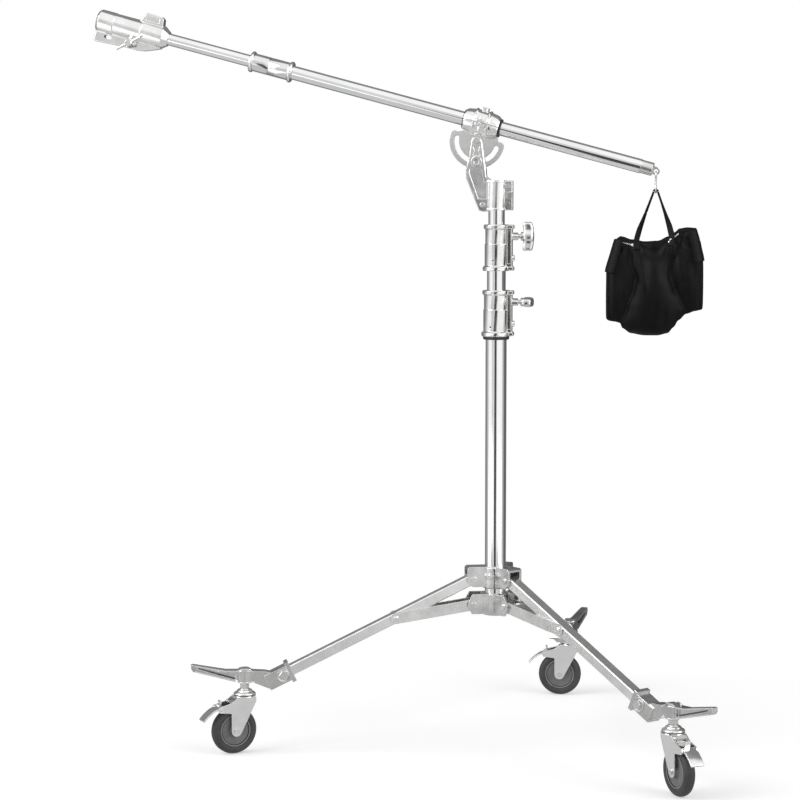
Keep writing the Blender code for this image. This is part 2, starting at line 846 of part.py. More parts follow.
# Caster's fixed part: the threaded stem with its nut, the upper race and the king pin
caster_stem = turned(
    "caster_stem_left",
    [
        (0.0, FORK_TOP_Z - FORK_TOP_THICK - 0.0045),
        (0.0085, FORK_TOP_Z - FORK_TOP_THICK - 0.0045),
        (0.0085, FORK_TOP_Z - FORK_TOP_THICK - 0.0007),
        (0.0062, FORK_TOP_Z - FORK_TOP_THICK - 0.0007),
        (0.0062, FORK_TOP_Z + 0.0006),
        (RACE_RADIUS, FORK_TOP_Z + 0.0006),
        (RACE_RADIUS, FORK_TOP_Z + 0.0055),
        (STEM_NUT_DIAMETER / 2, RACE_TOP_Z),
        (STEM_NUT_DIAMETER / 2, FOOT_UNDER_Z - 0.002 - SEAT_GAP),
        (STEM_DIAMETER / 2, FOOT_UNDER_Z - 0.002 - SEAT_GAP),
        (STEM_DIAMETER / 2, STEM_TOP_Z),
        (0.0, STEM_TOP_Z),
    ],
    plated_steel,
    steps=16,
)

# Caster fork: a pressed plate with two sides, each with an eye for the axle and an arm to the brake
wheel_radius = WHEEL_DIAMETER / 2
fork_in = FORK_INNER / 2
fork_out = fork_in + FORK_PLATE
fork = turned(
    "caster_fork_left",
    [
        (0.0, FORK_TOP_Z - FORK_TOP_THICK),
        (RACE_RADIUS - 0.002, FORK_TOP_Z - FORK_TOP_THICK),
        (RACE_RADIUS - 0.0005, FORK_TOP_Z - FORK_TOP_THICK + 0.0015),
        (RACE_RADIUS - 0.0015, FORK_TOP_Z),
        (0.0, FORK_TOP_Z),
    ],
    plated_steel,
    steps=16,
)
for side in (-1, 1):
    y_in, y_out = sorted((side * fork_in, side * fork_out))
    plate = prism(
        "plate",
        [
            (-0.0195, FORK_TOP_Z - 0.0012),
            (-0.0200, FORK_TOP_Z - 0.0120),
            *arc((CASTER_TRAIL, wheel_radius), FORK_EYE_RADIUS, 205, 360, 6),
            (CASTER_TRAIL + FORK_EYE_RADIUS, 0.0890),
            (PEDAL_PIVOT[0] + 0.005, PEDAL_PIVOT[1] - 0.006),
            (PEDAL_PIVOT[0] + 0.009, PEDAL_PIVOT[1]),
            (PEDAL_PIVOT[0] + 0.007, PEDAL_PIVOT[1] + 0.006),
            (CASTER_TRAIL + 0.012, 0.1110),
            (CASTER_TRAIL - 0.004, FORK_TOP_Z - 0.0012),
        ],
        y_in,
        y_out,
        plated_steel,
    )
    joined(fork, plate)
bridge = block(
    "bridge",
    (0.012, -fork_in - 0.001, 0.1085),
    (0.036, fork_in + 0.001, 0.1112),
    plated_steel,
)
joined(fork, bridge)
cut(
    fork,
    rod(
        "hole",
        (0, 0, 0.10),
        (0, 0, 0.14),
        0.0062 + RUN_GAP,
        plated_steel,
    ),
    rod(
        "hole",
        (CASTER_TRAIL, -0.04, wheel_radius),
        (CASTER_TRAIL, 0.04, wheel_radius),
        AXLE_DIAMETER / 2 + SEAT_GAP,
        plated_steel,
        steps=HOLE_STEPS,
    ),
    rod(
        "hole",
        (PEDAL_PIVOT[0], -0.04, PEDAL_PIVOT[1]),
        (PEDAL_PIVOT[0], 0.04, PEDAL_PIVOT[1]),
        PEDAL_PIN_DIAMETER / 2 + SEAT_GAP,
        plated_steel,
        steps=HOLE_STEPS,
    ),
)

# Axle: a bolt through the fork's eyes, with a head and a nut
axle_reach = fork_out + SEAT_GAP
axle = rod(
    "axle_left",
    (0, -axle_reach - 0.001, 0),
    (0, axle_reach + 0.001, 0),
    AXLE_DIAMETER / 2,
    bolt_steel,
)
for side in (-1, 1):
    joined(
        axle,
        rod(
            "head",
            (0, side * axle_reach, 0),
            (0, side * (axle_reach + AXLE_HEAD_HEIGHT), 0),
            AXLE_HEAD_DIAMETER / 2,
            bolt_steel,
            steps=6,
        ),
    )

# Wheel core: a grey plastic disc with a rim and a hub
core_radius = CORE_DIAMETER / 2
core_half = CORE_WIDTH / 2
hub_half = WHEEL_HUB_WIDTH / 2
core_side = [
    (AXLE_DIAMETER / 2 + RUN_GAP, hub_half),
    (WHEEL_HUB_DIAMETER / 2 - 0.002, hub_half),
    (WHEEL_HUB_DIAMETER / 2, core_half - 0.002),
    (core_radius - 0.0060, core_half - 0.002),
    (core_radius - 0.0040, core_half),
    (core_radius, core_half),
]
core_profile = [(radius, -height) for radius, height in core_side] + core_side[::-1]
wheel_core = turned("wheel_core_left", core_profile, wheel_plastic, steps=20, spin_axis="Y")

# Tyre: a solid rubber tread with rounded shoulders
tyre_inner = core_radius + SEAT_GAP
tyre_half = TYRE_WIDTH / 2
tyre_side = [
    (tyre_inner, tyre_half - 0.0010),
    (wheel_radius - 0.0055, tyre_half),
    (wheel_radius, tyre_half - 0.0065),
]
tyre_profile = [(radius, -height) for radius, height in tyre_side] + tyre_side[::-1]
tyre = turned("tyre_left", tyre_profile, tyre_rubber, steps=TUBE_STEPS, spin_axis="Y")

# Brake pedal: a pressed tread on a pin between the fork's arms, with a release tab and a shoe
pivot_x, pivot_z = PEDAL_PIVOT
shoe_angle = math.atan2(pivot_z - wheel_radius, pivot_x - CASTER_TRAIL)
shoe_tip = (
    CASTER_TRAIL + (wheel_radius + SEAT_GAP) * math.cos(shoe_angle),
    wheel_radius + (wheel_radius + SEAT_GAP) * math.sin(shoe_angle),
)
tread_top = [
    (pivot_x - 0.005, pivot_z + 0.0048),
    (pivot_x + 0.006, pivot_z + 0.0040),
    (pivot_x + 0.018, pivot_z - 0.0010),
    (pivot_x + 0.030, pivot_z - 0.0100),
    (pivot_x + 0.040, pivot_z - 0.0205),
]
tread_low = [(x - 0.0012, z - PEDAL_THICK) for x, z in reversed(tread_top)]
pedal = prism(
    "brake_pedal_left", tread_top + tread_low, -PEDAL_HALF, PEDAL_HALF, plated_steel
)
tab = prism(
    "tab",
    [
        (pivot_x - 0.0045, pivot_z + 0.003),
        (pivot_x - 0.0020, pivot_z + 0.003),
        (pivot_x + 0.0010, pivot_z + 0.018),
        (pivot_x - 0.0020, pivot_z + 0.0185),
    ],
    -0.006,
    0.006,
    plated_steel,
)
shoe = prism(
    "shoe",
    [
        (pivot_x - 0.0045, pivot_z + 0.003),
        (pivot_x - 0.0045, pivot_z - 0.002),
        (shoe_tip[0] - 0.0018, shoe_tip[1] + 0.0016),
        shoe_tip,
        (shoe_tip[0] + 0.0022, shoe_tip[1] - 0.0002),
        (pivot_x + 0.0040, pivot_z - 0.002),
        (pivot_x + 0.0040, pivot_z + 0.003),
    ],
    -0.010,
    0.010,
    plated_steel,
)
pin = rod(
    "pin",
    (pivot_x, -fork_out - 0.0008, pivot_z),
    (pivot_x, fork_out + 0.0008, pivot_z),
    PEDAL_PIN_DIAMETER / 2,
    plated_steel,
    steps=12,
)
joined(pedal, tab, shoe, pin)

# The three legs: each has a frame at its azimuth, and pieces under empties on their joint axes
leg_pieces = {
    "leg": leg,
    "brace": brace,
    "foot": foot,
    "foot_bolt": foot_bolt,
    "caster_stem": caster_stem,
    "caster_fork": fork,
    "axle": axle,
    "wheel_core": wheel_core,
    "tyre": tyre,
    "brake_pedal": pedal,
}
pedal.data.transform(Matrix.Translation((-pivot_x, 0, -pivot_z)))
foot.data.transform(Matrix.Translation((-PIVOT_RADIUS, 0, -LEG_PIVOT_Z)))
for side_name, azimuth in LEG_AZIMUTHS.items():
    frame = empty("frame_" + side_name, (0, 0, 0), root, (0, 0, math.radians(azimuth)))
    leg_axis = empty("leg_axis_" + side_name, (PIVOT_RADIUS, 0, LEG_PIVOT_Z), frame)
    leg_line = empty("leg_line_" + side_name, (0, 0, 0), leg_axis, (0, slope, 0))
    brace_axis = empty(
        "brace_axis_" + side_name,
        (PIVOT_RADIUS, 0, brace_pivot_z),
        frame,
        (0, brace_slope, 0),
    )
    caster_turn = math.radians(CASTER_AZIMUTHS[side_name] - azimuth)
    caster_axis = empty(
        "caster_axis_" + side_name,
        (SWIVEL_RADIUS - PIVOT_RADIUS, 0, -LEG_PIVOT_Z),
        leg_axis,
        (0, 0, caster_turn),
    )
    wheel_axis = empty("wheel_axis_" + side_name, (CASTER_TRAIL, 0, wheel_radius), caster_axis)
    pedal_axis = empty("pedal_axis_" + side_name, (pivot_x, 0, pivot_z), caster_axis)
    bolt_axis = empty("bolt_axis_" + side_name, (foot_bolt_reach, 0, 0), leg_line)
    carriers = {
        "leg": leg_line,
        "brace": brace_axis,
        "foot": leg_axis,
        "foot_bolt": bolt_axis,
        "caster_stem": caster_axis,
        "caster_fork": caster_axis,
        "axle": wheel_axis,
        "wheel_core": wheel_axis,
        "tyre": wheel_axis,
        "brake_pedal": pedal_axis,
    }
    for kind, piece in leg_pieces.items():
        if side_name == "left":
            piece.parent = carriers[kind]
        else:
            copy_of(piece, kind + "_" + side_name, carriers[kind])

# Column tubes
def tube(name, diameter, wall, low, high, surface, steps=TUBE_STEPS, spin_axis="Z", middle=(0, 0, 0)):
    radius = diameter / 2
    return turned(
        name,
        [
            (radius - wall, low),
            (radius, low),
            (radius, high),
            (radius - wall, high),
        ],
        surface,
        steps=steps,
        spin_axis=spin_axis,
        middle=middle,
    )


base_tube_low = tube_seat_z + SEAT_GAP
base_tube_high = base_tube_low + BASE_TUBE_LENGTH
hang(tube("base_tube", BASE_TUBE_OD, TUBE_WALL, base_tube_low, base_tube_high, tube_steel), root)

base_collar_high = base_tube_high + SEAT_GAP + COLLAR_STOP
base_collar_low = base_collar_high - COLLAR_HEIGHT
middle_collar_low = base_collar_high + MIDDLE_TUBE_SHOWN
middle_collar_high = middle_collar_low + COLLAR_HEIGHT
middle_tube_high = middle_collar_high - COLLAR_STOP - SEAT_GAP
middle_tube_low = middle_tube_high - MIDDLE_TUBE_LENGTH
sleeve_low = middle_collar_high + TOP_TUBE_SHOWN
sleeve_high = sleeve_low + SLEEVE_HEIGHT
top_tube_high = sleeve_high - SLEEVE_CAP - SEAT_GAP
top_tube_low = top_tube_high - TOP_TUBE_LENGTH

hang(
    tube("middle_tube", MIDDLE_TUBE_OD, TUBE_WALL, middle_tube_low, middle_tube_high, tube_steel),
    root,
)
hang(tube("top_tube", TOP_TUBE_OD, TUBE_WALL, top_tube_low, top_tube_high, tube_steel), root)


def column_collar(name, low, tube_od, inner_od):
    """A cast lock collar: rims, a stepped sleeve, a housing for the brake pad and a boss for the stud."""
    high = low + COLLAR_HEIGHT
    bore = tube_od / 2 + SEAT_GAP
    sleeve = bore + COLLAR_WALL
    rim = sleeve + COLLAR_RIM
    body = turned(
        name,
        [
            (0.0, low),
            (rim - 0.001, low),
            (rim, low + 0.003),
            (rim, low + COLLAR_RIM_HEIGHT - 0.003),
            (sleeve + COLLAR_STEP, low + COLLAR_RIM_HEIGHT),
            (sleeve + COLLAR_STEP, low + COLLAR_RING_AT),
            (sleeve, low + COLLAR_RING_AT + 0.0012),
            (sleeve, high - COLLAR_RIM_HEIGHT),
            (rim - 0.002, high - COLLAR_RIM_HEIGHT + 0.003),
            (rim - 0.002, high - 0.002),
            (rim - 0.004, high),
            (0.0, high),
        ],
        cast_metal,
    )
    housing = block(
        "housing",
        (bore + 0.0005, -HOUSING_WIDTH / 2, low + 0.003),
        (HOUSING_REACH, HOUSING_WIDTH / 2, high - 0.003),
        cast_metal,
        bevel=0.0015,
    )
    ears = [
        block(
            "ear",
            (bore + 0.0005, -HOUSING_WIDTH / 2 - 0.001, ear_low),
            (HOUSING_REACH + EAR_OUT, HOUSING_WIDTH / 2 + 0.001, ear_low + EAR_HEIGHT),
            cast_metal,
            bevel=0.002,
        )
        for ear_low in (low + 0.0005, high - 0.0005 - EAR_HEIGHT)
    ]
    boss = rod(
        "boss",
        (HOUSING_REACH - 0.001, 0, low + STUD_AT),
        (HOUSING_REACH + STUD_BOSS_LENGTH, 0, low + STUD_AT),
        STUD_BOSS_DIAMETER / 2,
        cast_metal,
    )
    screw = rod(
        "screw",
        (HOUSING_REACH - 0.001, 0, low + SCREW_AT),
        (HOUSING_REACH + SCREW_HEAD_HEIGHT, 0, low + SCREW_AT),
        SCREW_HEAD_DIAMETER / 2,
        cast_metal,
        steps=12,
    )
    joined(body, housing, *ears, boss, screw)
    cuts = [
        rod("bore", (0, 0, low - 0.01), (0, 0, high - COLLAR_STOP), bore, cast_metal, steps=ROUND_STEPS),
        rod("bore", (0, 0, low), (0, 0, high + 0.01), inner_od / 2 + RUN_GAP, cast_metal, steps=ROUND_STEPS),
        rod(
            "stud_hole",
            (bore + 0.002, 0, low + STUD_AT),
            (HOUSING_REACH + 0.03, 0, low + STUD_AT),
            STUD_DIAMETER / 2 + RUN_GAP,
            cast_metal,
        ),
    ]
    for side in (-1, 1):
        y_in, y_out = sorted((side * (HOUSING_WIDTH / 2 - GROOVE_DEPTH), side * 0.03))
        cuts.append(
            block(
                "groove",
                (HOUSING_REACH - 0.0035 - GROOVE_WIDTH, y_in, low + COLLAR_RIM_HEIGHT + 0.004),
                (HOUSING_REACH - 0.0035, y_out, high - COLLAR_RIM_HEIGHT - 0.001),
                cast_metal,
            )
        )
    return cut(body, *cuts)


def wing_knob(name, wings_upright):
    """A cast wing knob and its stud; its axis is its own X axis, and its stud's end is at x = 0."""
    stud_length = KNOB_OUT - (base_radius + 0.0045)
    knob = rod("knob", (0, 0, 0), (stud_length + 0.002, 0, 0), STUD_DIAMETER / 2, cast_metal, steps=12)
    neck = rod("neck", (stud_length - 0.001, 0, 0), (stud_length + 0.006, 0, 0), 0.0095, cast_metal)
    half, thick = KNOB_LENGTH / 2, KNOB_THICK / 2
    outline = [
        (-half + 0.004, -thick + 0.001),
        (-half * 0.45, -thick + 0.0025),
        (0.0, -thick + 0.001),
        (half * 0.45, -thick + 0.0025),
        (half - 0.004, -thick + 0.001),
        (half, -thick + 0.006),
        (half, thick - 0.006),
        (half - 0.004, thick - 0.001),
        (half * 0.45, thick - 0.0025),
        (0.0, thick - 0.001),
        (-half * 0.45, thick - 0.0025),
        (-half + 0.004, thick - 0.001),
        (-half, thick - 0.006),
        (-half, -thick + 0.006),
    ]
    if wings_upright:
        outline = [(b, a) for a, b in outline]
    wings = prism(
        "wings", outline, stud_length + 0.003, stud_length + KNOB_DEPTH, cast_metal, along="X", bevel=0.0025
    )
    joined(knob, neck, wings)
    knob.name = name
    knob.data.name = name
    return knob


base_collar = column_collar("base_collar", base_collar_low, BASE_TUBE_OD, MIDDLE_TUBE_OD)
cut(
    base_collar,
    rod(
        "hole",
        (-0.010, -0.05, base_collar_low + 0.020),
        (-0.010, -0.0225, base_collar_low + 0.020),
        0.0022,
        cast_metal,
        steps=10,
    ),
)
hang(base_collar, root)
middle_collar = column_collar("middle_collar", middle_collar_low, MIDDLE_TUBE_OD, TOP_TUBE_OD)
cut(
    middle_collar,
    rod(
        "hole",
        (-0.005, -0.05, middle_collar_low + 0.022),
        (-0.005, -0.0205, middle_collar_low + 0.022),
        0.0022,
        cast_metal,
        steps=10,
    ),
)
hang(middle_collar, root)
stud_start = base_radius + 0.0045
base_knob = wing_knob("base_knob", False)
base_knob.parent = root
base_knob.location = (stud_start, 0, base_collar_low + STUD_AT)
middle_knob = wing_knob("middle_knob", True)
middle_knob.parent = root
middle_knob.location = (stud_start, 0, middle_collar_low + STUD_AT)

# Rubber ring under the lower collar
rim_radius = base_radius + SEAT_GAP + COLLAR_WALL + COLLAR_RIM
ring_high = base_collar_low - SEAT_GAP
hang(
    turned(
        "collar_ring",
        [
            (base_radius + SEAT_GAP, ring_high - RUBBER_RING_HEIGHT),
            (rim_radius - 0.0055, ring_high - RUBBER_RING_HEIGHT),
            (rim_radius - 0.0040, ring_high - RUBBER_RING_HEIGHT + 0.0015),
            (rim_radius - 0.0040, ring_high),
            (base_radius + SEAT_GAP, ring_high),
        ],
        black_rubber,
    ),
    root,
)

# Tilt bracket: a sleeve on the top tube, split lugs with two bolts, and a forked dogleg arm
top_radius = TOP_TUBE_OD / 2
sleeve_radius = top_radius + RUN_GAP + SLEEVE_WALL
pivot_z_tilt = sleeve_low + TILT_PIVOT_RISE
tilt_pivot = (TILT_PIVOT_X, pivot_z_tilt)
slope_tilt = math.radians(BOOM_SLOPE)
bracket = turned(
    "tilt_bracket",
    [
        (0.0, sleeve_low),
        (sleeve_radius + 0.0015, sleeve_low),
        (sleeve_radius + 0.0015, sleeve_low + 0.003),
        (sleeve_radius, sleeve_low + 0.004),
        (sleeve_radius, sleeve_high - 0.004),
        (sleeve_radius + 0.0015, sleeve_high - 0.003),
        (sleeve_radius + 0.0010, sleeve_high - 0.0005),
        (sleeve_radius, sleeve_high),
        (0.0, sleeve_high),
    ],
    cast_metal,
)
arm_outline = [
    (-0.006, sleeve_low - 0.001),
    (TILT_PIVOT_X + 0.0140, sleeve_low - 0.0035),
    (TILT_PIVOT_X + 0.0055, sleeve_low - 0.0005),
    (TILT_PIVOT_X + 0.0020, sleeve_low + 0.0075),
    (TILT_PIVOT_X - 0.0220, pivot_z_tilt - 0.0780),
    (TILT_PIVOT_X - 0.0225, pivot_z_tilt - 0.0570),
    (TILT_PIVOT_X - 0.0180, pivot_z_tilt - 0.0440),
    (TILT_PIVOT_X - 0.0155, pivot_z_tilt - 0.0340),
    (TILT_PIVOT_X - ARM_TOP_RADIUS, pivot_z_tilt - 0.0020),
    (TILT_PIVOT_X - 0.0095, pivot_z_tilt + 0.0045),
    (TILT_PIVOT_X - 0.0060, pivot_z_tilt + ARM_TOP_RISE),
    (TILT_PIVOT_X + 0.0060, pivot_z_tilt + ARM_TOP_RISE),
    (TILT_PIVOT_X + 0.0095, pivot_z_tilt + 0.0045),
    (TILT_PIVOT_X + ARM_TOP_RADIUS, pivot_z_tilt - 0.0020),
    (TILT_PIVOT_X + 0.0165, pivot_z_tilt - 0.0380),
    (TILT_PIVOT_X + 0.0195, pivot_z_tilt - 0.0590),
    (TILT_PIVOT_X + 0.0210, pivot_z_tilt - 0.0750),
    (TILT_PIVOT_X + 0.0300, sleeve_high + 0.0010),
    (-0.006, sleeve_high - 0.003),
]
joined(bracket, prism("arm", arm_outline, -ARM_HALF, ARM_HALF, cast_metal, bevel=0.0016))
lug = block(
    "lug",
    (top_radius - 0.002, -LUG_HALF, sleeve_low),
    (LUG_REACH, LUG_HALF, sleeve_high - 0.0005),
    cast_metal,
    bevel=0.0018,
)
lug_pad = block(
    "lug_pad",
    (sleeve_radius + 0.0015, -LUG_HALF - 0.0012, sleeve_low + 0.0255),
    (LUG_REACH - 0.0010, -LUG_HALF + 0.002, sleeve_high - 0.0245),
    cast_metal,
)
joined(bracket, lug, lug_pad)
boss_at = (TILT_PIVOT_X, pivot_z_tilt - SLOT_RADIUS)
for side in (-1, 1):
    joined(
        bracket,
        rod(
            "boss",
            (boss_at[0], side * (ARM_HALF - 0.001), boss_at[1]),
            (boss_at[0], side * (ARM_HALF + LOCK_BOSS_HEIGHT), boss_at[1]),
            LOCK_BOSS_DIAMETER / 2,
            cast_metal,
            steps=20,
        ),
    )
plate_half = PLATE_THICK / 2
slot_reach = PLATE_RADIUS + 0.0015
cuts = [
    prism(
        "plate_slot",
        [
            *arc(tilt_pivot, slot_reach, 180, 360, 17),
            (TILT_PIVOT_X + slot_reach, pivot_z_tilt + 0.03),
            (TILT_PIVOT_X - slot_reach, pivot_z_tilt + 0.03),
        ],
        -plate_half - ARM_SLOT_GAP,
        plate_half + ARM_SLOT_GAP,
        cast_metal,
    ),
    rod(
        "bore",
        (0, 0, sleeve_low - 0.01),
        (0, 0, sleeve_high - SLEEVE_CAP),
        top_radius + RUN_GAP,
        cast_metal,
        steps=ROUND_STEPS,
    ),
    block(
        "slit",
        (0.005, -LUG_SLIT / 2, sleeve_low - 0.01),
        (LUG_REACH + 0.01, LUG_SLIT / 2, sleeve_high - SLEEVE_CAP),
        cast_metal,
    ),
    rod(
        "tilt_hole",
        (tilt_pivot[0], -0.05, tilt_pivot[1]),
        (tilt_pivot[0], 0.05, tilt_pivot[1]),
        TILT_BOLT_DIAMETER / 2 + SEAT_GAP,
        cast_metal,
    ),
    rod(
        "lock_hole",
        (boss_at[0], -0.05, boss_at[1]),
        (boss_at[0], 0.05, boss_at[1]),
        LOCK_BOLT_DIAMETER / 2 + RUN_GAP,
        cast_metal,
    ),
    rod(
        "lock_recess",
        (boss_at[0], -0.05, boss_at[1]),
        (boss_at[0], -ARM_HALF - LOCK_BOSS_HEIGHT + LOCK_RECESS_DEPTH, boss_at[1]),
        LOCK_RECESS_DIAMETER / 2,
        cast_metal,
        steps=16,
    ),
]
# The arm's faces have a long recessed panel and a small pocket under the pivot
for side in (-1, 1):
    y_in, y_out = sorted((side * (ARM_HALF - 0.0025), side * 0.03))
    panel = [
        (TILT_PIVOT_X + 0.0040, sleeve_low + 0.0243),
        (TILT_PIVOT_X - 0.0155, pivot_z_tilt - 0.0670),
        (TILT_PIVOT_X - 0.0140, pivot_z_tilt - 0.0575),
        (TILT_PIVOT_X + 0.0110, pivot_z_tilt - 0.0590),
        (TILT_PIVOT_X + 0.0160, sleeve_high - 0.0040),
        (TILT_PIVOT_X + 0.0215, sleeve_high - 0.0045),
        (TILT_PIVOT_X + 0.0215, sleeve_low + 0.0235),
    ]
    cuts.append(prism("panel", panel, y_in, y_out, cast_metal))
    y_in, y_out = sorted((side * (ARM_HALF - 0.0020), side * 0.03))
    pocket = [
        (TILT_PIVOT_X - 0.0080, pivot_z_tilt - 0.0310),
        (TILT_PIVOT_X + 0.0080, pivot_z_tilt - 0.0310),
        (TILT_PIVOT_X + 0.0040, pivot_z_tilt - 0.0215),
        (TILT_PIVOT_X + 0.0070, pivot_z_tilt - 0.0115),
        (TILT_PIVOT_X - 0.0070, pivot_z_tilt - 0.0115),
        (TILT_PIVOT_X - 0.0040, pivot_z_tilt - 0.0215),
    ]
    cuts.append(prism("pocket", pocket, y_in, y_out, cast_metal))
lug_bolt_x = (top_radius + RUN_GAP + LUG_REACH) / 2 - 0.0015
lug_bolt_heights = (sleeve_low + 0.0125, sleeve_high - 0.0125)
for height in lug_bolt_heights:
    cuts.append(
        rod(
            "bolt_hole",
            (lug_bolt_x, -0.03, height),
            (lug_bolt_x, 0.03, height),
            LUG_BOLT_DIAMETER / 2 + SEAT_GAP,
            cast_metal,
            steps=12,
        )
    )
cut(bracket, *cuts)
screw_x, screw_z = TILT_PIVOT_X + 0.0130, sleeve_low + 0.0113
screw = rod(
    "screw",
    (screw_x, -ARM_HALF - 0.0014, screw_z),
    (screw_x, -ARM_HALF + 0.002, screw_z),
    0.0052,
    cast_metal,
    steps=12,
)
joined(bracket, screw)
socket = rod(
    "socket", (screw_x, -0.03, screw_z), (screw_x, -ARM_HALF + 0.0015, screw_z), 0.0024, cast_metal, steps=6
)
cut(bracket, socket)
hang(bracket, root)

# Clamp bolts of the sleeve's lugs, head towards the camera's side and nut behind
for label, height in zip(("lower", "upper"), lug_bolt_heights):
    seat = LUG_HALF + SEAT_GAP
    bolt = rod(
        "lug_bolt_" + label,
        (lug_bolt_x, -seat - 0.001, height),
        (lug_bolt_x, seat + 0.001, height),
        LUG_BOLT_DIAMETER / 2,
        bolt_steel,
        steps=12,
    )
    head = rod(
        "head",
        (lug_bolt_x, -seat - 0.0045, height),
        (lug_bolt_x, -seat, height),
        LUG_BOLT_HEAD / 2,
        bolt_steel,
        steps=16,
    )
    nut = rod(
        "nut",
        (lug_bolt_x, seat, height),
        (lug_bolt_x, seat + 0.005, height),
        LUG_BOLT_HEAD / 2,
        bolt_steel,
        steps=6,
    )
    joined(bolt, head, nut)
    hang(bolt, root, (lug_bolt_x, 0, height))

# Tilt pivot bolt through the arm's two cheeks and the slotted plate
seat = ARM_HALF + SEAT_GAP
tilt_bolt = rod(
    "tilt_bolt", (0, -seat - 0.001, 0), (0, seat + 0.001, 0), TILT_BOLT_DIAMETER / 2, bolt_steel
)
joined(
    tilt_bolt,
    rod("head", (0, -seat - 0.006, 0), (0, -seat, 0), TILT_BOLT_HEAD / 2, bolt_steel, steps=6),
    rod("nut", (0, seat, 0), (0, seat + 0.007, 0), TILT_BOLT_HEAD / 2, bolt_steel, steps=6),
)
tilt_bolt.parent = root
tilt_bolt.location = (tilt_pivot[0], 0, tilt_pivot[1])

# Tilt lock: a socket screw through the slot, with a T handle on its far end
seat = ARM_HALF + LOCK_BOSS_HEIGHT + SEAT_GAP
lock_handle = rod(
    "tilt_lock_handle",
    (0, -ARM_HALF + 0.0005, 0),
    (0, seat + 0.002, 0),
    LOCK_BOLT_DIAMETER / 2,
    bolt_steel,
)
joined(
    lock_handle,
    turned(
        "hub",
        [
            (0.0, seat),
            (0.0090, seat),
            (0.0090, seat + 0.004),
            (0.0070, seat + 0.008),
            (0.0070, seat + 0.020),
            (0.0, seat + 0.020),
        ],
        bolt_steel,
        steps=16,
        spin_axis="Y",
    ),
)
lever = rod(
    "lever", (0, seat + 0.0135, -LEVER_HALF), (0, seat + 0.0135, LEVER_HALF), 0.0045, bolt_steel, steps=12
)
socket = rod("socket", (0, -0.03, 0), (0, -ARM_HALF + 0.0035, 0), 0.0025, bolt_steel, steps=6)
joined(lock_handle, lever)
cut(lock_handle, socket)
lock_handle.parent = root
lock_handle.location = (boss_at[0], 0, boss_at[1])

# Everything on the boom is built in the boom's own frame: origin on the tilt pivot, X towards the tail
tilt_axis = empty("tilt_axis", (tilt_pivot[0], 0, tilt_pivot[1]), root, (0, slope_tilt, 0))
boom_radius = BOOM_OD / 2
bore_radius = boom_radius + RUN_GAP
slot_low, slot_high = SLOT_RADIUS - SLOT_WIDTH / 2, SLOT_RADIUS + SLOT_WIDTH / 2
lobe = 0.0085
plate_outline = [
    *arc((0, 0), PLATE_RADIUS, 180, 360, 25),
    *arc((PLATE_RADIUS - lobe, 0.0015), lobe, 0, 120, 5),
    (0.0425, 0.0120),
    (0.0415, 0.0170),
    (0.0370, 0.0180),
    (0.0360, 0.0220),
    (-0.0345, 0.0220),
    (-0.0370, 0.0125),
    *arc((-PLATE_RADIUS + lobe, 0.0015), lobe, 60, 180, 5),
]
saddle = prism("boom_saddle", plate_outline, -plate_half, plate_half, cast_metal)
slot_end = math.radians(SLOT_HALF_ANGLE)
slot_outline = [
    *arc((0, 0), slot_high, 270 - SLOT_HALF_ANGLE, 270 + SLOT_HALF_ANGLE, 21),
    *arc(
        (SLOT_RADIUS * math.sin(slot_end), -SLOT_RADIUS * math.cos(slot_end)),
        SLOT_WIDTH / 2,
        SLOT_HALF_ANGLE - 60,
        SLOT_HALF_ANGLE + 60,
        4,
    ),
    *arc((0, 0), slot_low, 270 + SLOT_HALF_ANGLE, 270 - SLOT_HALF_ANGLE, 21),
    *arc(
        (-SLOT_RADIUS * math.sin(slot_end), -SLOT_RADIUS * math.cos(slot_end)),
        SLOT_WIDTH / 2,
        120 - SLOT_HALF_ANGLE,
        240 - SLOT_HALF_ANGLE,
        4,
    ),
]
cut(
    saddle,
    prism("slot", slot_outline, -0.02, 0.02, cast_metal),
    rod("hole", (0, -0.02, 0), (0, 0.02, 0), TILT_BOLT_DIAMETER / 2 + RUN_GAP, cast_metal),
)
barrel_profile = [
    (0.0, -CLAMP_HALF_LENGTH),
    (CLAMP_END_RADIUS, -CLAMP_HALF_LENGTH),
    (CLAMP_END_RADIUS + 0.0035, -CLAMP_HALF_LENGTH + 0.005),
    (CLAMP_RADIUS - 0.0025, -CLAMP_RIDGE_AT - 0.0025),
    (CLAMP_RADIUS, -CLAMP_RIDGE_AT - 0.0015),
    (CLAMP_RADIUS, -CLAMP_RIDGE_AT + 0.0015),
    (CLAMP_RADIUS - 0.0020, -CLAMP_RIDGE_AT + 0.0030),
    (CLAMP_RADIUS - 0.0020, CLAMP_RIDGE_AT - 0.0030),
    (CLAMP_RADIUS, CLAMP_RIDGE_AT - 0.0015),
    (CLAMP_RADIUS, CLAMP_RIDGE_AT + 0.0015),
    (CLAMP_RADIUS - 0.0025, CLAMP_RIDGE_AT + 0.0025),
    (CLAMP_END_RADIUS + 0.0035, CLAMP_HALF_LENGTH - 0.005),
    (CLAMP_END_RADIUS, CLAMP_HALF_LENGTH),
    (0.0, CLAMP_HALF_LENGTH),
]
axis_at = (0, 0, BOOM_RISE)
lug_out = CLAMP_RADIUS + CLAMP_EAR_OUT
lug_top = BOOM_RISE + 0.0085
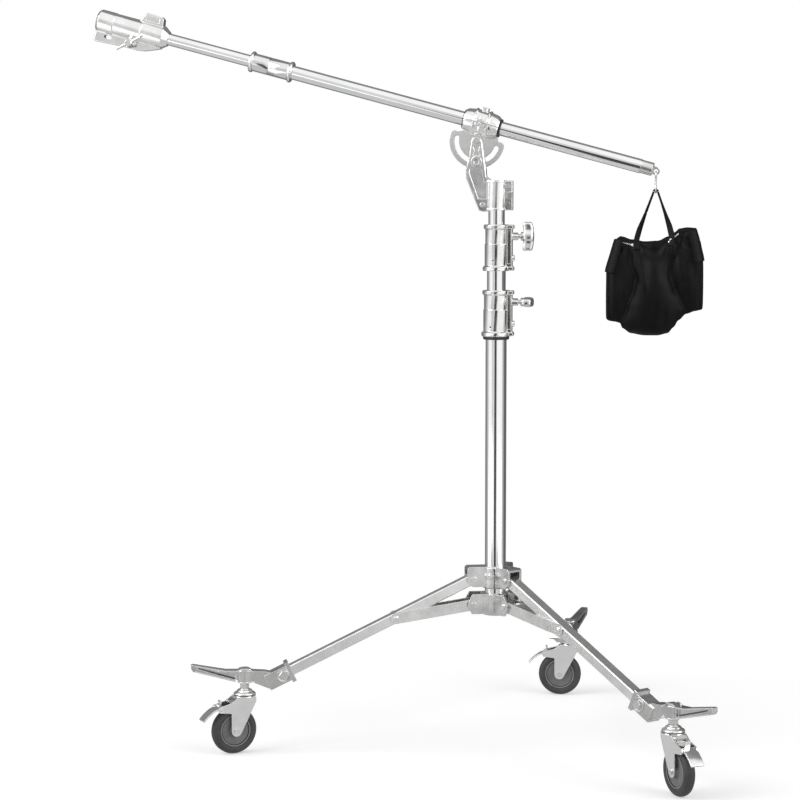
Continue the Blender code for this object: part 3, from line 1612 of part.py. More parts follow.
for half_name in ("saddle", "cap"):
    body = turned("barrel", barrel_profile, cast_metal, spin_axis="X", middle=axis_at)
    ears = block(
        "ears",
        (-0.0110, -lug_out, BOOM_RISE - 0.0085),
        (0.0110, lug_out, lug_top),
        cast_metal,
        bevel=0.002,
    )
    joined(body, ears)
    edge = BOOM_RISE - CLAMP_SPLIT / 2 if half_name == "saddle" else BOOM_RISE + CLAMP_SPLIT / 2
    if half_name == "saddle":
        away = block("away", (-0.1, -0.1, edge), (0.1, 0.1, edge + 0.1), cast_metal)
    else:
        away = block("away", (-0.1, -0.1, edge - 0.1), (0.1, 0.1, edge), cast_metal)
    cut(body, away)
    if half_name == "saddle":
        neck = block(
            "neck", (-0.030, -0.0070, 0.0150), (0.030, 0.0070, BOOM_RISE - 0.017), cast_metal, bevel=0.0015
        )
        joined(saddle, neck, body)
        for side in (-1, 1):
            cut(
                saddle,
                rod(
                    "relief",
                    (0, side * (plate_half + 0.0002), 0),
                    (0, side * (ARM_HALF + 0.0008), 0),
                    ARM_TOP_RADIUS + 0.0008,
                    cast_metal,
                    steps=ROUND_STEPS,
                ),
            )
    else:
        cap = body
pad_top = BOOM_RISE + CLAMP_PAD_RISE
pad = block(
    "pad",
    (-0.0060, -0.0100, BOOM_RISE + 0.020),
    (0.0080, 0.0100, pad_top),
    cast_metal,
    bevel=0.0012,
)
joined(cap, pad)
pocket_low = (-0.0025, -0.0125, pad_top - 0.0085)
pocket_high = (0.0045, -0.0080, pad_top - 0.0015)
cut(cap, block("pad_pocket", pocket_low, pocket_high, cast_metal))
bolt_y = (CLAMP_RADIUS + lug_out) / 2 + 0.0005
for side in (-1, 1):
    joined(
        cap,
        rod(
            "cap_screw",
            (0, side * bolt_y, lug_top - 0.001),
            (0, side * bolt_y, lug_top + 0.005),
            0.0048,
            cast_metal,
            steps=12,
        ),
    )
    joined(
        cap,
        rod(
            "cap_screw",
            (0, side * bolt_y, BOOM_RISE - 0.0165),
            (0, side * bolt_y, lug_top - 0.002),
            0.0028,
            cast_metal,
            steps=12,
        ),
    )
for side in (-1, 1):
    cut(
        saddle,
        rod(
            "screw_hole",
            (0, side * bolt_y, BOOM_RISE - 0.03),
            (0, side * bolt_y, BOOM_RISE + 0.01),
            0.0028 + SEAT_GAP,
            cast_metal,
            steps=12,
        ),
    )
for piece in (saddle, cap):
    cut(
        piece,
        rod("bore", (-0.1, 0, BOOM_RISE), (0.1, 0, BOOM_RISE), bore_radius, cast_metal, steps=ROUND_STEPS),
    )
cap.name = "boom_cap"
cap.data.name = "boom_cap"
hang(saddle, tilt_axis)
hang(cap, tilt_axis)
for label, sign, length in (("head", -1, HEAD_GASKET_LENGTH), ("tail", 1, TAIL_GASKET_LENGTH)):
    start = sign * (CLAMP_HALF_LENGTH + SEAT_GAP)
    end = start + sign * length
    low, high = sorted((start, end))
    hang(
        turned(
            "clamp_gasket_" + label,
            [
                (bore_radius, low),
                (GASKET_RADIUS, low),
                (GASKET_RADIUS, high),
                (bore_radius, high),
            ],
            black_rubber,
            spin_axis="X",
            middle=axis_at,
        ),
        tilt_axis,
    )

# Boom tubes
boom_carriage = empty("boom_carriage", axis_at, tilt_axis)
inner_carriage = empty("inner_boom_carriage", (0, 0, 0), boom_carriage)
outer_tube = tube(
    "boom_outer_tube", BOOM_OD, BOOM_WALL, -BOOM_HEAD_END, BOOM_TAIL_END, tube_steel, spin_axis="X"
)
outer_tube.parent = boom_carriage
inner_head = -RECEIVER_TAIL - TUBE_SOCKET_DEPTH + SEAT_GAP
tube(
    "boom_inner_tube",
    INNER_BOOM_OD,
    BOOM_WALL,
    inner_head,
    -INNER_BOOM_TAIL,
    tube_steel,
    spin_axis="X",
).parent = inner_carriage

# Twist lock: a fixed half on the outer tube and a turning half round the inner tube
inner_radius = INNER_BOOM_OD / 2
seam = 0.0004
fixed_bore = boom_radius + SEAT_GAP
lock_sleeve = turned(
    "boom_lock_sleeve",
    [
        (fixed_bore, -TWIST_SEAM + seam),
        (TWIST_RADIUS, -TWIST_SEAM + seam),
        (TWIST_RADIUS, -TWIST_END - TWIST_BEAD_LENGTH),
        (TWIST_BEAD_RADIUS, -TWIST_END - TWIST_BEAD_LENGTH * 0.75),
        (TWIST_BEAD_RADIUS, -TWIST_END - TWIST_BEAD_LENGTH * 0.25),
        (TWIST_RADIUS, -TWIST_END),
        (fixed_bore, -TWIST_END),
    ],
    cast_metal,
    spin_axis="X",
)
lock_sleeve.parent = boom_carriage
twist_nut = turned(
    "boom_twist_nut",
    [
        (inner_radius + RUN_GAP, -TWIST_START),
        (TWIST_RADIUS, -TWIST_START),
        (TWIST_BEAD_RADIUS, -TWIST_START + TWIST_BEAD_LENGTH * 0.25),
        (TWIST_BEAD_RADIUS, -TWIST_START + TWIST_BEAD_LENGTH * 0.75),
        (TWIST_RADIUS, -TWIST_START + TWIST_BEAD_LENGTH),
        (TWIST_RADIUS, -TWIST_SEAM - seam),
        (inner_radius + RUN_GAP, -TWIST_SEAM - seam),
    ],
    cast_metal,
    spin_axis="X",
)
twist_nut.parent = boom_carriage

# Receiver: a socket for a 28.6 mm spigot, with a clamp boss on top and a slotted rib with a wing screw
spigot_radius = SPIGOT_BORE / 2
receiver = turned(
    "receiver_head",
    [
        (0.0, -RECEIVER_MOUTH),
        (RECEIVER_MOUTH_RADIUS - 0.0040, -RECEIVER_MOUTH),
        (RECEIVER_MOUTH_RADIUS, -RECEIVER_MOUTH + 0.0050),
        (RECEIVER_MOUTH_RADIUS, -RECEIVER_MOUTH + RECEIVER_MOUTH_LENGTH),
        (RECEIVER_RADIUS - 0.0005, -RECEIVER_MOUTH + RECEIVER_MOUTH_LENGTH + 0.0015),
        (RECEIVER_RADIUS - 0.0005, -RECEIVER_BAND_AT - RECEIVER_BAND_WIDTH / 2),
        (RECEIVER_RADIUS + 0.0003, -RECEIVER_BAND_AT),
        (RECEIVER_RADIUS - 0.0005, -RECEIVER_BAND_AT + RECEIVER_BAND_WIDTH / 2),
        (RECEIVER_RADIUS - 0.0003, -RECEIVER_TAIL - 0.0015),
        (RECEIVER_RADIUS - 0.0015, -RECEIVER_TAIL),
        (inner_radius + 0.0025, -RECEIVER_TAIL + RECEIVER_CONE),
        (0.0, -RECEIVER_TAIL + RECEIVER_CONE),
    ],
    cast_metal,
    spin_axis="X",
)
top_boss = prism(
    "top_boss",
    [
        (-RECEIVER_TAIL - 0.0590, RECEIVER_RADIUS - 0.0050),
        (-RECEIVER_TAIL - 0.0490, TOP_BOSS_RISE - 0.0010),
        (-RECEIVER_TAIL - 0.0430, TOP_BOSS_RISE),
        (-RECEIVER_TAIL - 0.0130, TOP_BOSS_RISE - 0.0010),
        (-RECEIVER_TAIL - 0.0080, TOP_BOSS_RISE - 0.0050),
        (-RECEIVER_TAIL - 0.0055, RECEIVER_RADIUS - 0.0050),
    ],
    -TOP_BOSS_HALF,
    TOP_BOSS_HALF,
    cast_metal,
    bevel=0.0015,
)
# The rib's nose stands plumb when the boom is at its rest slope
rib_nose_back = 0.0045 * math.tan(slope_tilt)
rib = prism(
    "rib",
    [
        (-RECEIVER_MOUTH + 0.0010, -RECEIVER_RADIUS * 0.6),
        (-RECEIVER_MOUTH + 0.0010, -RIB_DEPTH + 0.0030),
        (-RECEIVER_MOUTH + 0.0010 + rib_nose_back, -RIB_DEPTH - 0.0015),
        (-RECEIVER_MOUTH + 0.0055, -RIB_DEPTH - 0.0035),
        (-RECEIVER_SCREW_AT - 0.0160, -RIB_DEPTH),
        (-RECEIVER_SCREW_AT + 0.0120, -RIB_DEPTH),
        (-RECEIVER_SCREW_AT + 0.0300, -RIB_DEPTH + 0.0026),
        (-RECEIVER_TAIL - 0.0130, -RECEIVER_RADIUS - 0.0048),
        (-RECEIVER_TAIL - 0.0005, -RECEIVER_RADIUS + 0.0005),
        (-RECEIVER_TAIL - 0.0005, -RECEIVER_RADIUS * 0.6),
    ],
    -RIB_HALF,
    RIB_HALF,
    cast_metal,
    bevel=0.0016,
)
screw_boss = rod(
    "screw_boss",
    (-RECEIVER_SCREW_AT, -RIB_HALF - 0.006, -RECEIVER_SCREW_DROP),
    (-RECEIVER_SCREW_AT, RIB_HALF + 0.002, -RECEIVER_SCREW_DROP),
    0.0095,
    cast_metal,
    steps=16,
)
joined(receiver, top_boss, rib, screw_boss)
rib_slot_z = -RIB_DEPTH + 0.0115
rib_slot = [
    *arc((-RECEIVER_MOUTH + 0.0255, rib_slot_z), RIB_SLOT_RADIUS, 90, 270, 7),
    *arc((-RECEIVER_MOUTH + 0.0345, rib_slot_z), RIB_SLOT_RADIUS, -90, 90, 7),
]
cut(
    receiver,
    rod(
        "spigot_bore",
        (-RECEIVER_MOUTH - 0.01, 0, 0),
        (-RECEIVER_MOUTH + SPIGOT_DEPTH, 0, 0),
        spigot_radius,
        cast_metal,
        steps=ROUND_STEPS,
    ),
    rod(
        "tube_bore",
        (-RECEIVER_TAIL - TUBE_SOCKET_DEPTH, 0, 0),
        (-RECEIVER_TAIL + 0.03, 0, 0),
        inner_radius + SEAT_GAP,
        cast_metal,
        steps=TUBE_STEPS,
    ),
    prism("rib_slot", rib_slot, -0.03, 0.03, cast_metal),
    rod(
        "screw_hole",
        (-RECEIVER_SCREW_AT, -0.04, -RECEIVER_SCREW_DROP),
        (-RECEIVER_SCREW_AT, RIB_HALF - 0.003, -RECEIVER_SCREW_DROP),
        0.0030 + RUN_GAP,
        cast_metal,
    ),
    block(
        "recess",
        (-RECEIVER_TAIL - 0.0450, -TOP_BOSS_HALF - 0.01, RECEIVER_RADIUS + 0.0015),
        (-RECEIVER_TAIL - 0.0165, -TOP_BOSS_HALF + 0.0025, TOP_BOSS_RISE - 0.0050),
        cast_metal,
    ),
    rod(
        "pin_hole",
        (-RECEIVER_TAIL - 0.0160, -RECEIVER_RADIUS * 2, -RECEIVER_RADIUS * 0.7),
        (-RECEIVER_TAIL - 0.0160, -spigot_radius + 0.0025, -RECEIVER_RADIUS * 0.7),
        0.0025,
        cast_metal,
        steps=HOLE_STEPS,
    ),
)
receiver.parent = inner_carriage

# Receiver's T screw
screw_base = -RIB_HALF - 0.006 - SEAT_GAP
bar_radius = SCREW_BAR_DIAMETER / 2
bar_y = -RECEIVER_RADIUS - SCREW_BAR_GAP - bar_radius
receiver_screw = rod("receiver_screw", (0, bar_y, 0), (0, 0.004, 0), 0.0030, bolt_steel)
joined(
    receiver_screw,
    turned(
        "hub",
        [
            (0.0, bar_y - bar_radius - 0.0025),
            (SCREW_HUB_DIAMETER * 0.34, bar_y - bar_radius - 0.0025),
            (SCREW_HUB_DIAMETER * 0.42, bar_y - bar_radius - 0.0010),
            (SCREW_HUB_DIAMETER * 0.42, bar_y + bar_radius + 0.0010),
            (SCREW_HUB_DIAMETER * 0.34, bar_y + bar_radius + 0.0025),
            (SCREW_HUB_DIAMETER / 2, screw_base - 0.0015),
            (SCREW_HUB_DIAMETER / 2, screw_base),
            (0.0, screw_base),
        ],
        bolt_steel,
        steps=14,
        spin_axis="Y",
    ),
)
joined(
    receiver_screw,
    rod("bar", (-SCREW_BAR_HALF, bar_y, 0), (SCREW_BAR_HALF, bar_y, 0), bar_radius, bolt_steel),
)
receiver_screw.parent = inner_carriage
receiver_screw.location = (-RECEIVER_SCREW_AT, 0, -RECEIVER_SCREW_DROP)
receiver_screw.rotation_euler = (0, math.radians(-40), 0)

# Tail cap with its eye plate
tail_cap = turned(
    "tail_cap",
    [
        (0.0, BOOM_TAIL_END - TAIL_PLUG_LENGTH),
        (boom_radius - BOOM_WALL - SEAT_GAP, BOOM_TAIL_END - TAIL_PLUG_LENGTH),
        (boom_radius - BOOM_WALL - SEAT_GAP, BOOM_TAIL_END + SEAT_GAP),
        (TAIL_CAP_RADIUS, BOOM_TAIL_END + SEAT_GAP),
        (TAIL_CAP_RADIUS, TAIL_CAP_END - 0.0015),
        (TAIL_CAP_RADIUS - 0.0015, TAIL_CAP_END),
        (0.0, TAIL_CAP_END),
    ],
    tube_steel,
    steps=TUBE_STEPS,
    spin_axis="X",
)
eye_half = EYE_PLATE_THICK / 2
eye_outline = [
    (TAIL_CAP_END - 0.003, 0.0090),
    (TAIL_CAP_END - 0.003, -0.0090),
    (LUG_EYE_AT, -0.0100),
    *arc((LUG_EYE_AT, -0.0020), 0.0080, -75, 75, 7),
    (LUG_EYE_AT, 0.0070),
]
joined(tail_cap, prism("eye_plate", eye_outline, -eye_half, eye_half, tube_steel))
cut(
    tail_cap,
    rod("eye", (LUG_EYE_AT, -0.02, -0.0020), (LUG_EYE_AT, 0.02, -0.0020), LUG_EYE_RADIUS, tube_steel),
)
tail_cap.parent = boom_carriage

# Hook: an S of round wire that hangs plumb in the eye, in a plane across the boom
eye_local = Vector((LUG_EYE_AT, 0, BOOM_RISE - 0.0020))
tilt_place = Matrix.Translation((tilt_pivot[0], 0, tilt_pivot[1])) @ Matrix.Rotation(slope_tilt, 4, "Y")
eye_world = tilt_place @ eye_local
wire = HOOK_WIRE / 2
top_loop, low_loop = HOOK_TOP_LOOP, HOOK_LOW_LOOP
eye_rise = (top_loop - wire) - math.sqrt((top_loop - wire) ** 2 - eye_half**2)
hook_axis = Vector((eye_world.x, 0, eye_world.z - LUG_EYE_RADIUS + wire + eye_rise + 2 * SEAT_GAP))
top_middle = (0.0, -top_loop)
low_middle = (0.0, -HOOK_LENGTH + 2 * wire + low_loop)
hook_path = [
    *arc(top_middle, top_loop, 215, -35, 13),
    *arc(low_middle, low_loop, 140, 395, 15),
]
hook_curve = bpy.data.curves.new("sandbag_hook", "CURVE")
hook_curve.dimensions = "3D"
hook_curve.bevel_depth = wire
hook_curve.bevel_resolution = 1
hook_curve.use_fill_caps = True
spline = hook_curve.splines.new("POLY")
spline.points.add(len(hook_path) - 1)
for point, (y, z) in zip(spline.points, hook_path):
    point.co = (0.0, y, z, 1.0)
hook = bpy.data.objects.new("sandbag_hook", hook_curve)
hook_curve.materials.append(bolt_steel)
bpy.context.scene.collection.objects.link(hook)
hook.parent = root
hook.location = hook_axis

# Sandbag: one sagging pouch, wider at the foot, made of rings along its width
loop_inside = low_loop - wire
loop_rise = loop_inside - math.sqrt(loop_inside**2 - (STRAP_GATHERED / 2) ** 2)
strap_under = wire + loop_rise + 2 * SEAT_GAP
bag_axis = Vector((hook_axis.x, 0, hook_axis.z + low_middle[1] - low_loop))
bag_stations = [
    # share of the width from the left, low and high share of the height, share of the depth
    (0.000, 0.180, 0.570, 0.25),
    (0.030, 0.155, 0.720, 0.55),
    (0.090, 0.140, 0.870, 0.72),
    (0.150, 0.130, 0.905, 0.80),
    (0.260, 0.060, 0.885, 0.95),
    (0.400, 0.010, 0.860, 1.00),
    (0.530, 0.000, 0.865, 1.00),
    (0.650, 0.035, 0.895, 0.95),
    (0.750, 0.120, 0.955, 0.85),
    (0.830, 0.195, 0.990, 0.75),
    (0.920, 0.240, 0.985, 0.65),
    (0.975, 0.260, 0.800, 0.45),
    (1.000, 0.265, 0.600, 0.22),
]
bag_top_z = bag_axis.z - BAG_DROP
bag_low_z = bag_top_z - BAG_HEIGHT
bag_left_x = bag_axis.x - BAG_WIDTH * 0.505
bag_shape = bmesh.new()
rings = []
for share, low, high, depth in bag_stations:
    x = bag_left_x + share * BAG_WIDTH
    z_low = bag_low_z + low * BAG_HEIGHT
    z_high = bag_low_z + high * BAG_HEIGHT
    ring = []
    for k in range(12):
        angle = 2 * math.pi * k / 12
        across, up = math.sin(angle), -math.cos(angle)
        # the pouch is fuller in its lower half and drawn in at its mouth
        half_depth = BAG_DEPTH / 2 * depth * (1.0 - 0.30 * max(0.0, up))
        y = half_depth * math.copysign(abs(across) ** 0.7, across)
        z = (z_low + z_high) / 2 + (z_high - z_low) / 2 * math.copysign(abs(up) ** 0.8, up)
        ring.append(bag_shape.verts.new((x, y, z)))
    rings.append(ring)
for first, second in zip(rings, rings[1:]):
    for k in range(12):
        n = (k + 1) % 12
        bag_shape.faces.new((first[k], first[n], second[n], second[k]))
bag_shape.faces.new(list(reversed(rings[0])))
bag_shape.faces.new(rings[-1])
bag = finish(bag_shape, "sandbag", bag_cloth)
hang(bag, root, bag_axis)

# Carrying strap: an inverted V of webbing over the hook

def bag_top_at(x):
    """Height of the pouch's top edge at a place along its width."""
    share = (x - bag_left_x) / BAG_WIDTH
    for (a, _, z_a, _), (b, _, z_b, _) in zip(bag_stations, bag_stations[1:]):
        if a <= share <= b:
            return bag_low_z + BAG_HEIGHT * (z_a + (z_b - z_a) * (share - a) / (b - a))
    raise ValueError("the strap's foot lies off the bag")


left_foot_x = bag_axis.x - STRAP_FOOT_LEFT
right_foot_x = bag_axis.x + STRAP_FOOT_RIGHT
wire_middle = (bag_axis.x, bag_axis.z)
strap_outline = [
    (left_foot_x - STRAP_HALF_FOOT, bag_top_at(left_foot_x - STRAP_HALF_FOOT) + STRAP_GAP),
    (left_foot_x + STRAP_HALF_FOOT, bag_top_at(left_foot_x + STRAP_HALF_FOOT) + STRAP_GAP),
    *arc(wire_middle, strap_under, 155, 25, 5),
    (right_foot_x - STRAP_HALF_FOOT, bag_top_at(right_foot_x - STRAP_HALF_FOOT) + STRAP_GAP),
    (right_foot_x + STRAP_HALF_FOOT, bag_top_at(right_foot_x + STRAP_HALF_FOOT) + STRAP_GAP),
    *arc(wire_middle, strap_under + STRAP_THICK, 25, 155, 5),
]
strap = prism("bag_strap", strap_outline, -STRAP_WIDTH / 2, STRAP_WIDTH / 2, strap_web)
strap_fall = bag_axis.z - bag_top_at(left_foot_x)
for vert in strap.data.vertices:
    share = max(0.0, bag_axis.z - vert.co.z) / strap_fall
    vert.co.y *= (STRAP_GATHERED + (STRAP_WIDTH - STRAP_GATHERED) * share) / STRAP_WIDTH
hang(strap, root, bag_axis)

# Moves the object so that the middle of its footprint is at X = Y = 0 and its wheels stand on Z = 0
bpy.context.view_layer.update()
graph = bpy.context.evaluated_depsgraph_get()
low_corner = Vector((1e9, 1e9, 1e9))
high_corner = Vector((-1e9, -1e9, -1e9))
for obj in bpy.context.scene.objects:
    if obj.type not in ("MESH", "CURVE"):
        continue
    seen = obj.evaluated_get(graph)
    shape = seen.to_mesh()
    for vert in shape.vertices:
        point = seen.matrix_world @ vert.co
        low_corner = Vector(map(min, low_corner, point))
        high_corner = Vector(map(max, high_corner, point))
    seen.to_mesh_clear()
root.location = (
    -(low_corner.x + high_corner.x) / 2,
    -(low_corner.y + high_corner.y) / 2,
    -low_corner.z,
)
bpy.context.view_layer.update()
print("column axis at", [round(v, 6) for v in root.location])
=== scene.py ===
"""Dressed scene of the wheeled boom light stand: every piece with its finish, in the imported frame."""
import math

import bmesh
import bpy
from mathutils import Matrix, Vector, noise
from mathutils.bvhtree import BVHTree


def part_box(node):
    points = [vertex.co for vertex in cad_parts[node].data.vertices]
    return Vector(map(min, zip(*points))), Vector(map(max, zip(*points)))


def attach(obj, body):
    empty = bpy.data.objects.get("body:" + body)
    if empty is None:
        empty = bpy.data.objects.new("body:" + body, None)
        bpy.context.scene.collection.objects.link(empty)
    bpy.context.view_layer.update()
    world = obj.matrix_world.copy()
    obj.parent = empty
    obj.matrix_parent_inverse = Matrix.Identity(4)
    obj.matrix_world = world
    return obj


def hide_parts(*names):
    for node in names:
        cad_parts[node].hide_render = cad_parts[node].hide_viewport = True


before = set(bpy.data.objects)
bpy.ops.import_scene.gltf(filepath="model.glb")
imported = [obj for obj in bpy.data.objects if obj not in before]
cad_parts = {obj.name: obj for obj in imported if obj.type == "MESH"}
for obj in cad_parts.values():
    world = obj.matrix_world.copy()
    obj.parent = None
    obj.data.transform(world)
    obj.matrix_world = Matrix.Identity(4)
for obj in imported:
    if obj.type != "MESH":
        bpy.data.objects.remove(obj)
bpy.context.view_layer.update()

# Brace hub and leg hub: two sand-cast aluminium hubs, tumbled and silver lacquered. The lower one is
# pressed on the foot of the column and carries the braces, the upper one slides and carries the legs.
scene = bpy.context.scene
column_x, column_y = 0.196526, -0.087646
sides = ("left", "front", "back")


def grey(value, warmth=0.005):
    """A grey that is a little short of blue, as bare metals are."""
    return (value, value, value - warmth, 1)


def feed(tree, node, inputs):
    """Sets a node's inputs to values, or wires them to sockets."""
    for socket, value in inputs.items():
        if isinstance(value, bpy.types.NodeSocket):
            tree.links.new(value, node.inputs[socket])
        else:
            node.inputs[socket].default_value = value
    return node


def add_node(tree, kind, inputs):
    """A new node with its inputs fed."""
    return feed(tree, tree.nodes.new("ShaderNode" + kind), inputs)


def own_place(tree):
    """A point's place on the piece itself."""
    return tree.nodes.new("ShaderNodeTexCoord").outputs["Object"]


def noise_of(tree, place, scale, detail=3.0, rough=0.5, stretch=(1, 1, 1)):
    """A noise texture at a place, stretched where asked."""
    laid = add_node(tree, "Mapping", {"Vector": place, "Scale": stretch}).outputs["Vector"]
    look = {"Vector": laid, "Scale": scale, "Detail": detail, "Roughness": rough}
    return add_node(tree, "TexNoise", look).outputs["Fac"]


def spread(tree, value, low, high, to_low=0.0, to_high=1.0):
    """Maps a value from one range to another and keeps it inside."""
    ends = {"Value": value, "From Min": low, "From Max": high, "To Min": to_low, "To Max": to_high}
    return add_node(tree, "MapRange", ends).outputs["Result"]


def blend_colours(tree, share, first, second):
    """Mixes two colours by a share from 0 to 1."""
    node = tree.nodes.new("ShaderNodeMix")
    node.data_type = "RGBA"
    return feed(tree, node, {"Factor": share, "A": first, "B": second}).outputs["Result"]


def sum_of(tree, first, second, how="ADD", clamped=False):
    """A sum, or another step between two values."""
    node = tree.nodes.new("ShaderNodeMath")
    node.operation = how
    node.use_clamp = clamped
    return feed(tree, node, {0: first, 1: second}).outputs[0]


def product_of(tree, first, second, clamped=False):
    """A product of two values."""
    return sum_of(tree, first, second, "MULTIPLY", clamped)


def vector_step(tree, how, inputs):
    """One number made from vectors."""
    node = tree.nodes.new("ShaderNodeVectorMath")
    node.operation = how
    return feed(tree, node, inputs).outputs["Value"]


def relief(tree, height, strength, distance, under=None):
    """A bump for a height, on top of another normal where one is given."""
    inputs = {"Strength": strength, "Distance": distance, "Height": height}
    if under:
        inputs["Normal"] = under
    return add_node(tree, "Bump", inputs).outputs["Normal"]


def shader_group(name, inputs, outputs):
    """An empty shader group, the values that come in and the node where they go out."""
    group = bpy.data.node_groups.new(name, "ShaderNodeTree")
    for label, value in inputs.items():
        kind = "NodeSocketColor" if isinstance(value, tuple) else "NodeSocketFloat"
        group.interface.new_socket(label, in_out="INPUT", socket_type=kind).default_value = value
    for label, kind in outputs.items():
        group.interface.new_socket(label, in_out="OUTPUT", socket_type="NodeSocket" + kind)
    return group, group.nodes.new("NodeGroupInput").outputs, group.nodes.new("NodeGroupOutput")


def group_outputs(tree, group, inputs):
    """What a shader group gives for some inputs."""
    node = tree.nodes.new("ShaderNodeGroup")
    node.node_tree = group
    return feed(tree, node, inputs).outputs


def new_material(name):
    """A new material, its tree and its main shader."""
    made = bpy.data.materials.new(name)
    made.use_nodes = True
    return made, made.node_tree, made.node_tree.nodes["Principled BSDF"]


# Rims of cast and pressed pieces: softened, and lighter at the rims, partly as lacquer polished thin where
# hands and rags rub and partly as a painted highlight
tree, rim_in, rim_out = shader_group(
    "softened rims worn and lit", {"Radius": 0.001}, {"Rim": "Float", "Normal": "Vector"}
)
rim_group = tree
rim_bevel = add_node(tree, "Bevel", {"Radius": rim_in["Radius"]})
rim_bevel.samples = 6
rim_soft = rim_bevel.outputs["Normal"]
rim_flat = tree.nodes.new("ShaderNodeNewGeometry").outputs["Normal"]
rim_turn = spread(tree, vector_step(tree, "DOT_PRODUCT", {0: rim_soft, 1: rim_flat}), 0.995, 0.9)
rim_broken = spread(tree, noise_of(tree, own_place(tree), 170.0, 4.0), 0.3, 0.62)
feed(tree, rim_out, {"Rim": product_of(tree, rim_turn, rim_broken, True), "Normal": rim_soft})

# Skin of a casting or a blasted plate: cloudy tone, a fine pebble and a dull patch here and there
tree, grain_in, grain_out = shader_group(
    "cast skin",
    {"Light": (0.6, 0.6, 0.6, 1), "Dark": (0.4, 0.4, 0.4, 1), "Pebble": 1.0, "Shine": 0.3},
    {"Colour": "Color", "Roughness": "Float", "Height": "Float"},
)
grain_group = tree
grain_place = own_place(tree)
grain_cloud = noise_of(tree, grain_place, 26.0, 5.0, 0.6)
grain_fine = noise_of(tree, grain_place, 1300.0)
grain_mid = noise_of(tree, grain_place, 320.0)
grain_both = sum_of(tree, grain_cloud, product_of(tree, grain_mid, 0.35))
grain_tone = spread(tree, grain_both, 0.5, 0.86)
grain_dull = spread(tree, grain_cloud, 0.35, 0.72, -0.05, 0.11)
grain_height = sum_of(tree, grain_fine, product_of(tree, grain_mid, 0.6))
feed(tree, grain_out, {
    "Colour": blend_colours(tree, grain_tone, grain_in["Dark"], grain_in["Light"]),
    "Roughness": sum_of(tree, grain_in["Shine"], grain_dull, "ADD", True),
    "Height": product_of(tree, grain_height, grain_in["Pebble"]),
})


def metal_finish(name, light, dark, edge, shine, pebble, radius):
    """A metal with a cast or blasted skin and softened rims, lighter partly as rubbed wear and partly as a
    painted highlight.
    """
    made, tree, surface = new_material(name)
    inputs = {"Light": light, "Dark": dark, "Pebble": pebble, "Shine": shine}
    skin = group_outputs(tree, grain_group, inputs)
    rims = group_outputs(tree, rim_group, {"Radius": radius})
    polished = product_of(tree, rims["Rim"], -0.12)
    # the rims' lighter colour is partly worn metal and partly a painted highlight
    feed(tree, surface, {
        "Metallic": 1.0,
        "Base Color": blend_colours(tree, rims["Rim"], skin["Colour"], edge),
        "Roughness": sum_of(tree, skin["Roughness"], polished, "ADD", True),
        "Normal": relief(tree, skin["Height"], 0.22, 0.0001, rims["Normal"]),
    })
    return made


def placed(name, data):
    """A new object in the scene."""
    piece = bpy.data.objects.new(name, data)
    scene.collection.objects.link(piece)
    return piece


def new_piece(name, verts, faces, surface, limit=None, outward=True, eased=0.0):
    """A piece from corners and faces, smooth between the edges that turn more than a limit."""
    mesh = bpy.data.meshes.new(name)
    mesh.from_pydata(verts, [], faces)
    if limit and outward:
        shape = bmesh.new()
        shape.from_mesh(mesh)
        bmesh.ops.recalc_face_normals(shape, faces=shape.faces)
        if eased:
            bmesh.ops.smooth_vert(
                shape, verts=shape.verts, factor=eased, use_axis_x=True, use_axis_y=True, use_axis_z=True
            )
        shape.to_mesh(mesh)
        shape.free()
    mesh.materials.append(surface)
    if limit:
        mesh.shade_smooth()
        mesh.set_sharp_from_angle(angle=math.radians(limit))
    return placed(name, mesh)


def fitted(piece, body, node=None):
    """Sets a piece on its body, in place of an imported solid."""
    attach(piece, body)
    if node:
        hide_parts(node)
    return piece


def finished(node, body, surface, limit=34):
    """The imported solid's form, welded and smooth between its real edges, with its finish."""
    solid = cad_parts[node].data
    welded, corners, index_of = [], [], {}
    for vert in solid.vertices:
        key = tuple(round(value, 6) for value in vert.co)
        if key not in index_of:
            index_of[key] = len(welded)
            welded.append(tuple(vert.co))
        corners.append(index_of[key])
    faces = [[corners[k] for k in polygon.vertices] for polygon in solid.polygons]
    faces = [face for face in faces if len(set(face)) == len(face)]
    piece = new_piece(node + "_finished", welded, faces, surface, limit, outward=False)
    evened = piece.modifiers.new("flat_faces_lead", "WEIGHTED_NORMAL")
    evened.keep_sharp = True
    return fitted(piece, body, node)


# light grey of the rims: partly bare worn metal, partly a painted highlight
cast_edge_worn_and_lit = grey(0.97)
cast_silver = metal_finish("cast_silver", grey(0.78), grey(0.56), cast_edge_worn_and_lit, 0.19, 0.45, 0.0014)
finished("brace_hub", "base", cast_silver)
finished("leg_hub", "leg_hub", cast_silver)

# Legs and braces: rectangular aluminium tube legs, satin anodised, that fold on steel pins between the
# hub's cheeks, and pressed plate braces in bright zinc, riveted to them.
leg_satin = metal_finish("leg_satin", grey(0.9), grey(0.83), grey(0.98), 0.22, 0.25, 0.001)
plate_zinc = metal_finish("plate_zinc", grey(0.88, 0.01), grey(0.78), grey(0.98), 0.17, 0.25, 0.001)
for side in sides:
    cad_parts["leg_" + side].material_slots[0].material = leg_satin
    finished("brace_" + side, "brace_" + side, plate_zinc)
